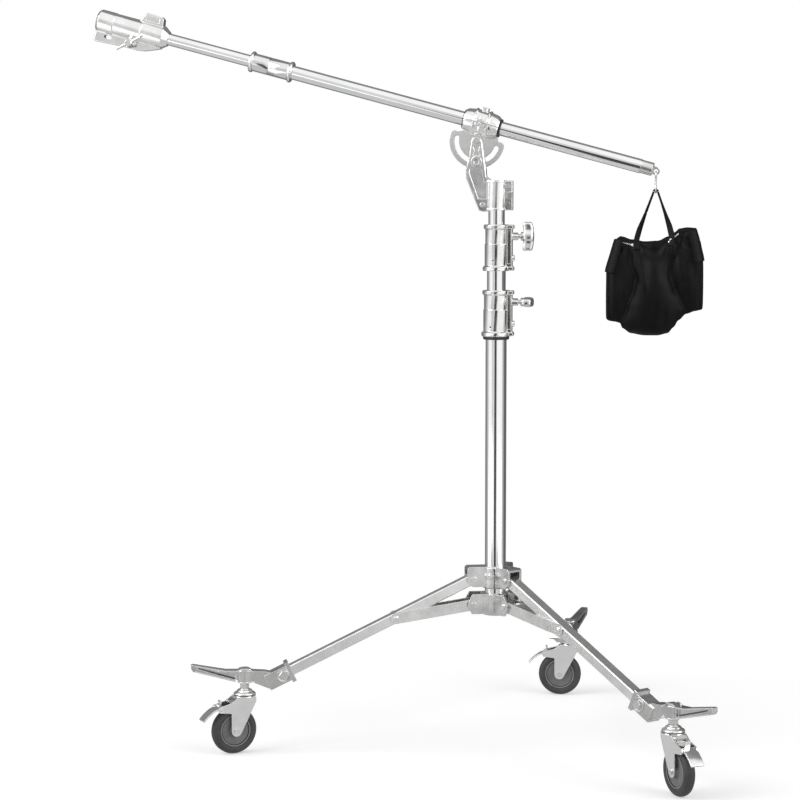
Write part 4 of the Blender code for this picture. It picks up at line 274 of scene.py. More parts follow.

# Feet: aluminium castings with a socket for the leg, an arm over the caster and a toe step, each held
# by a hexagon bolt through the leg. Raised rims stiffen the arm and the toe and are painted lighter as a
# highlight, and a dark strip on the web between them is painted shade of the recess.
bolt_bright = metal_finish("bolt_bright", grey(0.84, 0.01), grey(0.66), grey(0.92, 0.01), 0.2, 0.5, 0.0006)
# the raised rims are the same casting as the foot, painted lighter as a highlight
foot_rim_painted_highlight = metal_finish("foot_rim_painted_highlight", grey(0.95), grey(0.88), cast_edge_worn_and_lit, 0.12, 0.2, 0.0006)
# near black paint: painted shade in the toe's recess, and the dark ring under each caster's race
recess_shade_and_ring_dark = metal_finish("recess_shade_and_ring_dark", grey(0.16, 0), grey(0.07, 0), grey(0.3, 0), 0.45, 0.5, 0.0003)
foot_silver = metal_finish("foot_silver", grey(0.7), grey(0.56), cast_edge_worn_and_lit, 0.17, 0.35, 0.002)
stem_places = {"left": (-0.320698, -0.242821), "front": (0.589523, -0.457988), "back": (0.320753, 0.43787)}
column_foot = Vector((column_x, column_y, 0))
cheeks = ((1, "a"), (-1, "b"))
stem_reach, toe_end = 0.54, 0.647
toe_length = toe_end - stem_reach
arm_height = 0.16
rim_inset, rim_drop = 0.0068, 0.0014
rim_half_height, rim_half_thick = 0.0015, 0.0013
rim_rows, recess_rows = 45, 25
well_outside = 0.05


def loft_faces(rows, around):
    """The faces of a skin over closed rows of corners, with a face at each end."""
    faces = []
    for first in range(0, (rows - 1) * around, around):
        for k in range(around):
            n = (k + 1) % around
            faces.append((first + k, first + n, first + around + n, first + around + k))
    return faces + [tuple(reversed(range(around))), tuple((rows - 1) * around + k for k in range(around))]


def ribbon(name, rows, surface):
    """A round-edged strip through rows of (middle, half width, half thickness)."""
    corner = [(-1, -0.5), (-0.8, -1), (0.8, -1), (1, -0.5), (1, 0.5), (0.8, 1), (-0.8, 1), (-1, 0.5)]
    verts = [middle + wide * a + thick * b for middle, wide, thick in rows for a, b in corner]
    return new_piece(name, verts, loft_faces(len(rows), len(corner)), surface, 50)


def up(height):
    """A way straight up, or down where the height is negative."""
    return Vector((0, 0, height))


def tree_of(mesh):
    """A mesh's faces, to find where a piece lies on them."""
    corners = [vert.co.copy() for vert in mesh.vertices]
    return BVHTree.FromPolygons(corners, [tuple(face.vertices) for face in mesh.polygons])


def leg_ways(side):
    """A leg's way out from the column and the way across it."""
    outward = (Vector((*stem_places[side], 0)) - column_foot).normalized()
    return outward, Vector((-outward.y, outward.x, 0))


for side in sides:
    leg = "leg_" + side
    finished("foot_" + side, leg, foot_silver)
    finished("foot_bolt_" + side, leg, bolt_bright)
    foot_tree = tree_of(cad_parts["foot_" + side].data)
    outward, sideways = leg_ways(side)
    for cheek, cheek_name in cheeks:
        out = sideways * cheek
        for way, edge_name in ((1, "top"), (-1, "under")):
            rows = []
            for k in range(rim_rows):
                reach = stem_reach - 0.02 + (toe_length + 0.018) * k / (rim_rows - 1)
                above = column_foot + outward * reach + out * rim_inset
                above.z = arm_height + 0.08 * way
                hit = foot_tree.ray_cast(above, up(-way))[0]
                if hit is None:
                    continue
                start = hit - up(way * rim_drop) + out * well_outside
                edge = foot_tree.ray_cast(start, -out)[0]
                if edge is not None:
                    rows.append((edge, up(rim_half_height), out * rim_half_thick))
            rim = ribbon(f"foot_rim_{side}_{cheek_name}_{edge_name}", rows, foot_rim_painted_highlight)
            fitted(rim, leg)
        # a dark strip laid on the web, painted as the shade in the toe's recess
        rows = []
        for k in range(recess_rows):
            share = k / (recess_rows - 1)
            start = column_foot + outward * (stem_reach + 0.021 + 0.076 * share) + out * well_outside
            start.z = arm_height - 0.0005 + 0.0235 * share
            web = foot_tree.ray_cast(start, -out)[0]
            rows.append((web, up(0.0019 - 0.0008 * share), out * 0.0003))
        fitted(ribbon(f"toe_recess_shade_{side}_{cheek_name}", rows, recess_shade_and_ring_dark), leg)

# Casters: pressed steel forks and brake pedals in bright zinc plate, with a bolt for an axle. Each fork
# swivels under its foot, and its pedal is pressed down on the tread to brake the wheel.
fork_zinc = metal_finish("fork_zinc", grey(0.92), grey(0.85), grey(0.98), 0.17, 0.22, 0.0013)
for side in sides:
    finished("caster_fork_" + side, "caster_" + side, fork_zinc)
    finished("axle_" + side, "caster_" + side, bolt_bright)
    finished("brake_pedal_" + side, "pedal_" + side, fork_zinc)

# Wheels: a moulded grey nylon disc with a raised ring round each flank that is painted pale as a
# highlight, a groove beside it painted dark as its shade, and a tread of grey-black rubber bonded round
# it.
wheel_radius, tyre_half = 0.05, 0.012
core_radius, core_half = 0.03425, 0.01
wheel_axis = {
    "left": ((-0.341277, -0.257017), (0.567844, -0.823136)),
    "front": ((0.602399, -0.479418), (0.857167, 0.515038)),
    "back": ((0.295754, 0.438088), (-0.008727, -0.999962)),
}


def lathe(name, profile, surface, place, steps=96, limit=32, rim=0.0):
    """A piece turned round its Z axis from a closed outline of (radius, height)."""
    verts, faces, rings = [], [], []
    for radius, height in profile:
        ring = []
        for k in range(steps if radius > 1e-7 else 1):
            angle = 2 * math.pi * k / steps
            ring.append(len(verts))
            verts.append((radius * math.cos(angle), radius * math.sin(angle), height))
        rings.append(ring)
    for first, second in zip(rings, rings[1:] + rings[:1]):
        for k in range(steps):
            n = (k + 1) % steps
            a, b = first[k % len(first)], first[n % len(first)]
            c, d = second[n % len(second)], second[k % len(second)]
            corners = list(dict.fromkeys((a, b, c, d)))
            if len(corners) > 2:
                faces.append(corners)
    piece = new_piece(name, verts, faces, surface, limit)
    piece.matrix_world = place
    if rim:
        eased = piece.modifiers.new("eased_rims", "BEVEL")
        eased.width = rim
        eased.segments = 2
        eased.limit_method = "ANGLE"
        eased.angle_limit = math.radians(limit)
        eased.harden_normals = True
    return piece


def moulded_finish(name, light, dark, shine, pebble, scale, cold=0.0):
    """Rubber or plastic: cloudy tone with a little dust, and a moulded pebble."""
    made, tree, surface = new_material(name)
    place = own_place(tree)
    cloud = noise_of(tree, place, 34.0, 6.0, 0.65)
    speck = noise_of(tree, place, scale)
    tone = spread(tree, sum_of(tree, cloud, product_of(tree, speck, 0.4)), 0.52, 0.92)
    feed(tree, surface, {
        "Base Color": blend_colours(tree, tone, grey(dark, -cold), grey(light, -cold)),
        "Roughness": spread(tree, cloud, 0.3, 0.7, shine - 0.08, shine + 0.1),
        "Normal": relief(tree, speck, pebble, 0.0002),
    })
    return made


def turned_to(middle, way):
    """The place of a turned piece whose axis runs along a level way."""
    return Matrix.Translation(middle) @ way.to_track_quat("Z", "Y").to_matrix().to_4x4()


core_plastic = moulded_finish("core_plastic", 0.22, 0.14, 0.46, 0.18, 900.0)
tyre_rubber = moulded_finish("tyre_rubber", 0.075, 0.038, 0.56, 0.25, 1400.0, 0.001)
ring_painted_highlight = moulded_finish("ring_painted_highlight", 0.4, 0.3, 0.4, 0.12, 900.0)
groove_shade = moulded_finish("groove_shade", 0.018, 0.01, 0.6, 0.12, 900.0)
core_side = [
    (0.0044, 0.0146), (0.0105, 0.0146), (0.013, 0.0082), (0.0302, 0.0086), (0.0306, 0.007),
    (0.0316, 0.007), (0.032, 0.0098), (0.033, 0.0103), (core_radius, 0.0098),
]
tyre_side = [
    (core_radius + 0.0003, 0.0098), (core_radius + 0.001, 0.0108), (core_radius + 0.0035, 0.0117),
    (core_radius + 0.0075, tyre_half), (0.0448, 0.0108), (0.0474, 0.0087), (0.0491, 0.0058),
    (wheel_radius, 0.0022),
]
for side in sides:
    (x, y), along = wheel_axis[side]
    wheel = "wheel_" + side
    place = turned_to((x, y, wheel_radius), Vector((*along, 0)))
    for name, outline, surface, slot_name in (
        ("wheel_core_", core_side, core_plastic, "wheel_plastic"),
        ("tyre_", tyre_side, tyre_rubber, "tyre_rubber"),
    ):
        profile = [(radius, -height) for radius, height in outline] + outline[::-1]
        fitted(lathe(name + side + "_moulded", profile, surface, place), wheel, name + side)
    for flank, flank_name in cheeks:
        # the pale ring is a painted highlight, and the near black ring over the groove is painted shade
        for name, inner, outer, rise, surface in (
            ("core_ring_", 0.0316, 0.0332, 0.0007, ring_painted_highlight),
            ("core_groove_", 0.03, 0.0316, 0.0001, groove_shade),
        ):
            base, top = core_half - 0.0012, core_half + rise - 0.0002
            outline = [(inner, base), (outer, base), (outer, top - 0.0002), (outer - 0.0003, top)]
            outline += [(inner + 0.0003, top), (inner, top - 0.0002)]
            outline = [(radius, flank * height) for radius, height in outline]
            ring = lathe(f"{name}{side}_{flank_name}", outline, surface, place, limit=50)
            fitted(ring, wheel)

# Caster stems: the pressed ball race that the fork turns on, riveted to a threaded stem, with a dark ring
# under it and a hexagon nut that pulls the stem up into the foot.
race_profile = [
    (0.0, 0.115), (0.0072, 0.115), (0.0085, 0.1158), (0.0085, 0.1182), (0.006, 0.119),
    (0.006, 0.1243), (0.0222, 0.1243), (0.0233, 0.125), (0.0235, 0.1264), (0.0231, 0.128),
    (0.0214, 0.1296), (0.0186, 0.1308), (0.0172, 0.1318), (0.0164, 0.1334), (0.0148, 0.1352),
    (0.012, 0.1362), (0.0108, 0.1362), (0.0108, 0.1376), (0.006, 0.1378), (0.006, 0.1676),
    (0.0052, 0.1684), (0.0, 0.1684),
]
dark_ring_profile = [(0.02, 0.1234), (0.0237, 0.1234), (0.0239, 0.124), (0.0237, 0.1247), (0.02, 0.1247)]
nut_profile = [
    (0.0061, 0.1378), (0.0092, 0.1378), (0.01, 0.1386),
    (0.01, 0.1484), (0.0092, 0.1494), (0.0061, 0.1494),
]
for side in sides:
    leg = "leg_" + side
    place = Matrix.Translation((*stem_places[side], 0))
    stem = lathe(f"caster_stem_{side}_turned", race_profile, fork_zinc, place, limit=60)
    fitted(stem, leg, "caster_stem_" + side)
    fitted(lathe("race_dark_ring_" + side, dark_ring_profile, recess_shade_and_ring_dark, place, limit=60), leg)
    nut = lathe("stem_nut_" + side, nut_profile, bolt_bright, place, steps=6, limit=20, rim=0.0004)
    fitted(nut, leg)

# Foot bolt heads: a thick turned washer and a hexagon head on both cheeks of each foot's socket, where
# the bolt that holds the foot goes through the leg.
washer_profile = [
    (0.0108, -0.0002), (0.0155, -0.0002), (0.0158, 0.0006), (0.0152, 0.0018),
    (0.0138, 0.0021), (0.0126, 0.0014), (0.0108, 0.0014),
]
head_profile = [
    (0.0, 0.0012), (0.01, 0.0012), (0.0104, 0.002),
    (0.0104, 0.006), (0.0094, 0.007), (0.0, 0.007),
]
for side in sides:
    foot_tree = tree_of(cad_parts["foot_" + side].data)
    low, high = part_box("foot_bolt_" + side)
    bolt_middle = (Vector(low) + Vector(high)) / 2
    outward, sideways = leg_ways(side)
    for cheek, cheek_name in cheeks:
        out = sideways * cheek
        hit = foot_tree.ray_cast(bolt_middle + out * 0.06 + outward * 0.0122, -out)[0]
        place = turned_to(bolt_middle + out * (hit - bolt_middle).dot(out), out)
        for label, outline, steps, limit in (
            ("washer", washer_profile, 64, 50),
            ("head", head_profile, 6, 20),
        ):
            name = f"foot_bolt_{label}_{side}_{cheek_name}"
            fitted(lathe(name, outline, bolt_bright, place, steps, limit), "leg_" + side)

# Column tubes: three drawn steel tubes, chromed and buffed, that slide in one another. The boom's two
# tubes have the same finish.
tube_wall = 0.0015


def chrome_finish(name, light, dark, shine):
    """Buffed chrome: drawing lines along the tube, faint smears and a cloudy shine."""
    made, tree, surface = new_material(name)
    place = own_place(tree)
    lines = noise_of(tree, place, 900.0, 3.0, 0.6, (1, 1, 0.012))
    smears = noise_of(tree, place, 16.0, 6.0, 0.65, (1, 1, 0.45))
    tone = spread(tree, sum_of(tree, smears, product_of(tree, lines, 0.5)), 0.55, 0.95)
    smeared = spread(tree, smears, 0.45, 0.75, 0.0, 0.07)
    streaked = sum_of(tree, smeared, spread(tree, lines, 0.3, 0.7, -0.02, 0.03))
    feed(tree, surface, {
        "Metallic": 1.0,
        "Base Color": blend_colours(tree, tone, dark, light),
        "Roughness": sum_of(tree, streaked, shine, "ADD", True),
        "Normal": relief(tree, lines, 0.05, 0.00005),
    })
    return made


def drawn_tube(node, body, diameter, low, high, place):
    """A tube with its two eased ends, in its own axis, set in its place."""
    outer = diameter / 2
    profile = [(outer - tube_wall, low), (outer, low), (outer, high), (outer - tube_wall, high)]
    fitted(lathe(node + "_drawn", profile, tube_chrome, place, rim=0.0004), body, node)


tube_chrome = chrome_finish("tube_chrome", (0.96, 0.962, 0.965, 1), (0.86, 0.863, 0.868, 1), 0.06)
column_axis = Matrix.Translation(column_foot)
drawn_tube("base_tube", "base", 0.045, 0.2883, 0.9683, column_axis)
drawn_tube("middle_tube", "middle_section", 0.04, 0.4323, 1.1073, column_axis)
drawn_tube("top_tube", "top_section", 0.035, 0.5663, 1.2063, column_axis)

# Lock collars, their wing knobs and the rubber ring: cast and polished collars pressed on the tubes'
# ends, each with a brake pad's housing and a knob on a stud, and a soft ring that takes the knock.
collar_silver = metal_finish("collar_silver", grey(0.9), grey(0.8), cast_edge_worn_and_lit, 0.12, 0.25, 0.001)
knob_silver = metal_finish("knob_silver", grey(0.86), grey(0.74), cast_edge_worn_and_lit, 0.15, 0.3, 0.0022)
finished("base_collar", "base", collar_silver, 30)
finished("middle_collar", "middle_section", collar_silver, 30)
knob_stud_end, knob_half_span = 0.223526, 0.0305
knob_around, knob_between, knob_roundness = 32, 6, 0.55
# share of the half span, inner and outer reach of the wing from the stud's end, half thickness
wing_stations = [
    (0.0, 0.029, 0.053, 0.0108), (0.18, 0.0292, 0.0529, 0.0104), (0.3, 0.0302, 0.0524, 0.0082),
    (0.45, 0.0302, 0.052, 0.007), (0.65, 0.0292, 0.0514, 0.0074), (0.85, 0.029, 0.05, 0.0078),
    (0.95, 0.0298, 0.0484, 0.0068), (1.0, 0.0325, 0.0455, 0.004),
]
stud_profile = [
    (0.0, 0.0), (0.004, 0.0), (0.0045, 0.0008), (0.0045, 0.0244),
    (0.008, 0.0252), (0.0092, 0.0262), (0.0092, 0.03), (0.0, 0.03),
]


def squared(value, roundness):
    """A sine or a cosine for an outline that is squarer the less round it is."""
    return math.copysign(abs(value) ** roundness, value)


def wing_knob(name, height, span_way):
    """A cast wing knob: two lobed wings over a round boss, on a stud along X."""
    start = Vector((knob_stud_end, column_y, height))
    stud_place = Matrix.Translation(start) @ Matrix.Rotation(math.pi / 2, 4, "Y")
    stud = lathe(name + "_stud", stud_profile, bolt_bright, stud_place, steps=48)
    thick_way = Vector((1, 0, 0)).cross(span_way)
    rows = [
        [a + (b - a) * k / knob_between for a, b in zip(first, second)]
        for first, second in zip(wing_stations, wing_stations[1:])
        for k in range(knob_between)
    ] + [list(wing_stations[-1])]
    rows = [[-row[0]] + row[1:] for row in rows[:0:-1]] + rows
    verts = []
    for share, inner, outer, thick in rows:
        for k in range(knob_around):
            angle = 2 * math.pi * k / knob_around
            x = (inner + outer) / 2 + (outer - inner) / 2 * squared(math.cos(angle), knob_roundness)
            t = thick * squared(math.sin(angle), knob_roundness)
            verts.append(start + Vector((x, 0, 0)) + span_way * (share * knob_half_span) + thick_way * t)
    faces = loft_faces(len(rows), knob_around)
    wings = new_piece(name + "_wings", verts, faces, knob_silver, 60, eased=0.5)
    fitted(stud, name)
    fitted(wings, name, name)


wing_knob("base_knob", 0.9536, Vector((0, 1, 0)))
wing_knob("middle_knob", 1.0926, up(1))
black_rubber = moulded_finish("black_rubber", 0.035, 0.018, 0.5, 0.2, 1200.0, 0.001)
ring_profile = [
    (0.0228, 0.8738), (0.0262, 0.8738), (0.0274, 0.8745), (0.0279, 0.8758),
    (0.0279, 0.879), (0.0275, 0.8803), (0.0228, 0.8803),
]
collar_ring = lathe("collar_ring_moulded", ring_profile, black_rubber, column_axis)
fitted(collar_ring, "base", "collar_ring")

# Tilt head: a die-cast bracket whose sleeve is clamped on the top tube by two bolts, with a forked arm
# for the slotted plate, a pivot bolt and a lock screw with a T handle at the back.
head_silver = metal_finish("head_silver", grey(0.92), grey(0.83), grey(0.99), 0.15, 0.28, 0.0014)
finished("tilt_bracket", "head", head_silver, 30)
for node in ("lug_bolt_lower", "lug_bolt_upper", "tilt_bolt"):
    finished(node, "head", bolt_bright)
finished("tilt_lock_handle", "tilt_lock", bolt_bright)

# Boom clamp: a die-cast saddle on the slotted plate and a cap screwed down on it, which squeeze the
# boom between them, with a black gasket at each mouth.
tilt_pivot = Vector((0.154526, column_y, 1.2939))
boom_slope = math.radians(15.14)
boom_rise = 0.038
boom_frame = Matrix.Translation(tilt_pivot) @ Matrix.Rotation(boom_slope, 4, "Y")
boom_axis = boom_frame @ Matrix.Translation((0, 0, boom_rise)) @ Matrix.Rotation(math.pi / 2, 4, "Y")
finished("boom_saddle", "boom_clamp", head_silver, 28)
finished("boom_cap", "boom_clamp", head_silver, 28)
for label, start, end in (("head", -0.0399, -0.0383), ("tail", 0.0383, 0.0425)):
    node = "clamp_gasket_" + label
    profile = [(0.0154, start), (0.0192, start), (0.0195, (start + end) / 2), (0.0192, end), (0.0154, end)]
    gasket = lathe(node + "_moulded", profile, black_rubber, boom_axis, limit=50)
    fitted(gasket, "boom_clamp", node)

# Boom tubes, the twist lock between them and the cap with its eye at the tail. The lock is a beaded
# sleeve on the outer tube and a beaded nut that is turned to grip the inner one.
drawn_tube("boom_outer_tube", "boom", 0.03, -0.47, 0.348, boom_axis)
drawn_tube("boom_inner_tube", "inner_boom", 0.026, -0.7397, -0.06, boom_axis)
twist_satin = metal_finish("twist_satin", grey(0.88), grey(0.78), grey(0.96), 0.14, 0.3, 0.0009)
twist_radius, bead_radius, bead_steps = 0.0192, 0.0228, 8
for node, body, bore, bead_start, bead_end, far_end in (
    ("boom_lock_sleeve", "boom", 0.0153, -0.4205, -0.4295, -0.4721),
    ("boom_twist_nut", "twist_nut", 0.0134, -0.516, -0.507, -0.4729),
):
    profile = [(bore, bead_start)]
    for k in range(bead_steps + 1):
        swell = math.sin(math.pi * k / bead_steps) ** 0.6
        along = bead_start + (bead_end - bead_start) / bead_steps * k
        profile.append((twist_radius + (bead_radius - twist_radius) * swell, along))
    inward = 0.0008 if far_end > bead_end else -0.0008
    profile += [(twist_radius, far_end - inward), (twist_radius - 0.0006, far_end), (bore, far_end)]
    fitted(lathe(node + "_turned", profile, twist_satin, boom_axis, limit=40), body, node)
finished("tail_cap", "boom", bolt_bright)

# Receiver and hook: a die-cast socket for a lamp's spigot with a T screw through its rib at the boom's
# head, and an S of round bright steel wire through the eye at its tail.
finished("receiver_head", "inner_boom", head_silver, 30)
finished("receiver_screw", "receiver_screw", bolt_bright)
finished("sandbag_hook", "hook", bolt_bright, 80)

# Sandbag: a saddle pouch of black coated nylon, sewn with a waisted panel front and back. It is filled
# loosely with sand, so it is full at its foot and slack at its mouth.
bag_low = Vector((0.4287, -0.1296, 0.885))
bag_high = Vector((0.6327, -0.0456, 1.1147))
bag_width = bag_high.x - bag_low.x
bag_height = bag_high.z - bag_low.z
bag_half_depth = (bag_high.y - bag_low.y) / 2
# share of the width from the left, low and high share of the height, share of the depth
bag_stations = [
    (0.0, 0.16, 0.6, 0.05), (0.015, 0.14, 0.665, 0.36), (0.04, 0.13, 0.755, 0.55),
    (0.09, 0.124, 0.88, 0.7), (0.152, 0.112, 0.91, 0.77), (0.168, 0.066, 0.905, 0.82),
    (0.26, 0.02, 0.88, 0.9), (0.4, 0.0, 0.862, 0.95), (0.53, 0.0, 0.868, 0.95),
    (0.64, 0.022, 0.908, 0.9), (0.7, 0.075, 0.945, 0.86), (0.75, 0.14, 0.98, 0.82),
    (0.83, 0.2, 0.99, 0.74), (0.92, 0.225, 0.985, 0.62), (0.97, 0.235, 0.86, 0.5),
    (0.988, 0.24, 0.76, 0.34), (1.0, 0.26, 0.66, 0.05),
]
# height and place of the waisted panel's two creases
crease_left = [
    (0.87, 0.45), (0.9, 0.457), (0.945, 0.4752), (0.982, 0.4881),
    (1.002, 0.493), (1.041, 0.4815), (1.066, 0.4765), (1.12, 0.462),
]
crease_right = [
    (0.87, 0.617), (0.935, 0.5985), (0.956, 0.5875), (0.984, 0.5723), (1.012, 0.5625),
    (1.032, 0.5635), (1.058, 0.5765), (1.088, 0.5875), (1.12, 0.598),
]
station_count, ring_count = 84, 88
strap_feet = [Vector((0.4925, 1.0865)), Vector((0.564, 1.093))]


def along_table(table, at):
    """A smooth value read from a table of (place, values) rows."""
    at = min(max(at, table[0][0]), table[-1][0])
    for first, second in zip(table, table[1:]):
        if at <= second[0]:
            share = (at - first[0]) / (second[0] - first[0])
            share = share * share * (3 - 2 * share)
            return [a + (b - a) * share for a, b in zip(first[1:], second[1:])]
    return list(table[-1][1:])


def creases_at(z):
    """Where the waisted panel's two creases run at a height."""
    return along_table(crease_left, z)[0], along_table(crease_right, z)[0]


def mouth_at(share):
    """The mouth's height at a share of the bag's width."""
    return bag_low.z + bag_height * along_table(bag_stations, share)[1]


def pouch_swell(x, z):
    """How full the pouch is at a place: a lobe for the waisted panel and one at each side."""
    left, right = creases_at(z)
    if left < x < right:
        across = (x - (left + right) / 2) / ((right - left) / 2)
        return 0.34 + 0.66 * math.sqrt(max(1 - across * across, 0.0)) ** 0.9
    room = left - bag_low.x if x <= left else bag_high.x - right
    out = (left - x if x <= left else x - right) / max(room, 0.004)
    return 0.34 + 0.38 * math.sin(math.pi * min(out * 0.62, 1.0)) ** 0.6


tree, weave_in, weave_out = shader_group(
    "plain weave",
    {"Dark": (0.01, 0.01, 0.01, 1), "Light": (0.03, 0.03, 0.03, 1), "Threads": 900.0},
    {"Colour": "Color", "Roughness": "Float", "Height": "Float"},
)
weave_group = tree
weave_place = own_place(tree)
threads = []
for direction in ("X", "Z"):
    inputs = {"Distortion": 0.6, "Scale": weave_in["Threads"], "Vector": weave_place}
    band = add_node(tree, "TexWave", inputs)
    band.bands_direction = direction
    threads.append(band.outputs["Fac"])
weave_height = product_of(tree, *threads)
weave_rubbed = noise_of(tree, weave_place, 22.0, 6.0, 0.62)
weave_both = sum_of(tree, weave_rubbed, product_of(tree, weave_height, 0.25))
weave_tone = spread(tree, weave_both, 0.42, 0.86)
feed(tree, weave_out, {
    "Colour": blend_colours(tree, weave_tone, weave_in["Dark"], weave_in["Light"]),
    "Roughness": spread(tree, weave_rubbed, 0.3, 0.7, 0.34, 0.48),
    "Height": weave_height,
})


def cloth_finish(name, dark, light, thread_scale, depth):
    """Woven cloth: threads in its relief and rubbed patches in its tone."""
    made, tree, surface = new_material(name)
    inputs = {"Dark": dark, "Light": light, "Threads": thread_scale}
    weave = group_outputs(tree, weave_group, inputs)
    feed(tree, surface, {
        "Base Color": weave["Colour"],
        "Roughness": weave["Roughness"],
        "Specular IOR Level": 0.13,
        "Normal": relief(tree, weave["Height"], 0.5, depth),
    })
    return made


def settled(piece):
    """The piece with its modifiers made into its own mesh, smooth shaded."""
    bpy.context.view_layer.update()
    graph = bpy.context.evaluated_depsgraph_get()
    mesh = bpy.data.meshes.new_from_object(piece.evaluated_get(graph))
    piece.modifiers.clear()
    piece.data = mesh
    mesh.shade_smooth()


def made_finer(piece, levels):
    """Divides a piece's faces and settles it."""
    finer = piece.modifiers.new("finer", "SUBSURF")
    finer.levels = levels
    finer.render_levels = levels
    settled(piece)


bag_nylon = cloth_finish("bag_nylon", grey(0.001, -0.0001), grey(0.0046, -0.0002), 420.0, 0.00018)
bag_verts = []
for i in range(station_count + 1):
    share = (1 - math.cos(math.pi * i / station_count)) / 2 * 0.35 + i / station_count * 0.65
    low, high, depth = along_table(bag_stations, share)
    x = bag_low.x + share * bag_width
    z_low, z_high = bag_low.z + low * bag_height, bag_low.z + high * bag_height
    for k in range(ring_count):
        angle = 2 * math.pi * k / ring_count
        across, raised = math.sin(angle), -math.cos(angle)
        z = (z_low + z_high) / 2 + (z_high - z_low) / 2 * squared(raised, 0.8)
        half = bag_half_depth * depth * (0.93 - 0.42 * max(0.0, raised)) * pouch_swell(x, z)
        bag_verts.append((x, column_y + half * squared(across, 0.7), z))
bag = new_piece("sandbag_pouch", bag_verts, loft_faces(station_count + 1, ring_count), bag_nylon)

# The sand's fill pushes the cloth out between its seams, which hold
fill_limit, seam_reach, fill_frames = 0.005, 0.005, 20
start_at = [vert.co.copy() for vert in bag.data.vertices]
held = bag.vertex_groups.new(name="sewn")
for vert in bag.data.vertices:
    left, right = creases_at(vert.co.z)
    near_crease = 1.0 - min(abs(vert.co.x - left), abs(vert.co.x - right)) / seam_reach
    share = (vert.co.x - bag_low.x) / bag_width
    sewn_shut = mouth_at(share) - vert.co.z < 0.006 or share < 0.01 or share > 0.99
    grip = 1.0 if sewn_shut else near_crease
    if grip > 0:
        held.add([vert.index], min(grip, 1.0), "REPLACE")
fill = bag.modifiers.new("sand_fill", "CLOTH").settings
fill.quality = 5
fill.mass = 0.3
fill.tension_stiffness = 10
fill.compression_stiffness = 10
fill.shear_stiffness = 3
fill.bending_stiffness = 0.2
fill.use_pressure = True
fill.uniform_pressure_force = 4
fill.effector_weights.gravity = 0
fill.vertex_group_mass = "sewn"
for frame_number in range(1, fill_frames + 1):
    scene.frame_set(frame_number)
graph = bpy.context.evaluated_depsgraph_get()
filled = [vert.co.copy() for vert in bag.evaluated_get(graph).data.vertices]
bag.modifiers.clear()
for vert, before, after in zip(bag.data.vertices, start_at, filled):
    move = after - before
    if move.length > fill_limit:
        move.length = fill_limit
    vert.co = before + move
scene.frame_set(1)

# Slack cloth under its own load: drag folds that fan out below the strap's feet, one long fold under
# the left foot with a hollow beside it, and small creases
drag_depth, drag_reach, drag_width = 0.0022, 0.05, 0.045
fold_top, fold_length, fold_width = 1.062, 0.084, 0.0042
fold_rise, fold_hollow = 0.0042, 0.0026
for vert in bag.data.vertices:
    x, y, z = vert.co
    share = (x - bag_low.x) / bag_width
    edge = min(share, 1 - share, 0.06) / 0.06
    in_front = y < column_y
    pull = 0.0
    for foot in strap_feet:
        away = Vector((x, z)) - foot
        turn = math.atan2(away.x, -away.y)
        fade = math.exp(-(((away.length - drag_reach) / drag_width) ** 2))
        pull += drag_depth * math.cos(turn * 9.0 + foot.x * 40) * fade
    along = min(max((fold_top - z) / fold_length, 0.0), 1.0)
    if 0.0 < along < 1.0 and in_front:
        fold_away = (x - (0.4895 + 0.0215 * along)) / fold_width
        fold_swell = math.sin(math.pi * along) ** 0.5
        pull += fold_rise * fold_swell * math.exp(-fold_away * fold_away)
        pull -= fold_hollow * fold_swell * math.exp(-((fold_away - 2.0) ** 2))
    small = noise.noise(Vector((x * 60, z * 22, 3.0 if in_front else 9.0)))
    broad = noise.noise(Vector((x * 24 + z * 10, z * 9, 5.0 if in_front else 1.0)))
    full = min(abs(y - column_y) / 0.012, 1.0)
    vert.co.y += (-1 if in_front else 1) * edge * full * (pull + 0.0012 * small + 0.003 * broad)
made_finer(bag, 1)

# Seams, side flaps and the folded hem of the waisted panel: strips of the same nylon, sewn on. All are
# joined with the pouch into one piece.
bag_tree = tree_of(bag.data)


def on_bag(x, z, side=-1, lift=0.0):
    """A place on the pouch's front or back, and the way that it faces."""
    hit, facing = bag_tree.ray_cast(Vector((x, column_y + side * 0.2, z)), Vector((0, -side, 0)))[:2]
    if hit is None:
        hit, facing = bag_tree.find_nearest(Vector((x, column_y + side * 0.02, z)))[:2]
    return hit + facing * lift, facing


def sewn_strip(name, points, side, half_width, half_thick):
    """A strip of hem that lies on the pouch through a row of (x, z) places."""
    rows = []
    places = [on_bag(x, z, side, half_thick * 0.6) for x, z in points]
    for i, (place, facing) in enumerate(places):
        ahead = places[min(i + 1, len(places) - 1)][0] - places[max(i - 1, 0)][0]
        rows.append((place, facing.cross(ahead).normalized() * half_width, facing * half_thick))
    return ribbon(name, rows, hem_nylon)


def joined(pieces):
    """One piece out of several, under the first one's name."""
    chosen = {"selected_editable_objects": pieces, "selected_objects": pieces}
    with bpy.context.temp_override(active_object=pieces[0], object=pieces[0], **chosen):
        bpy.ops.object.join()


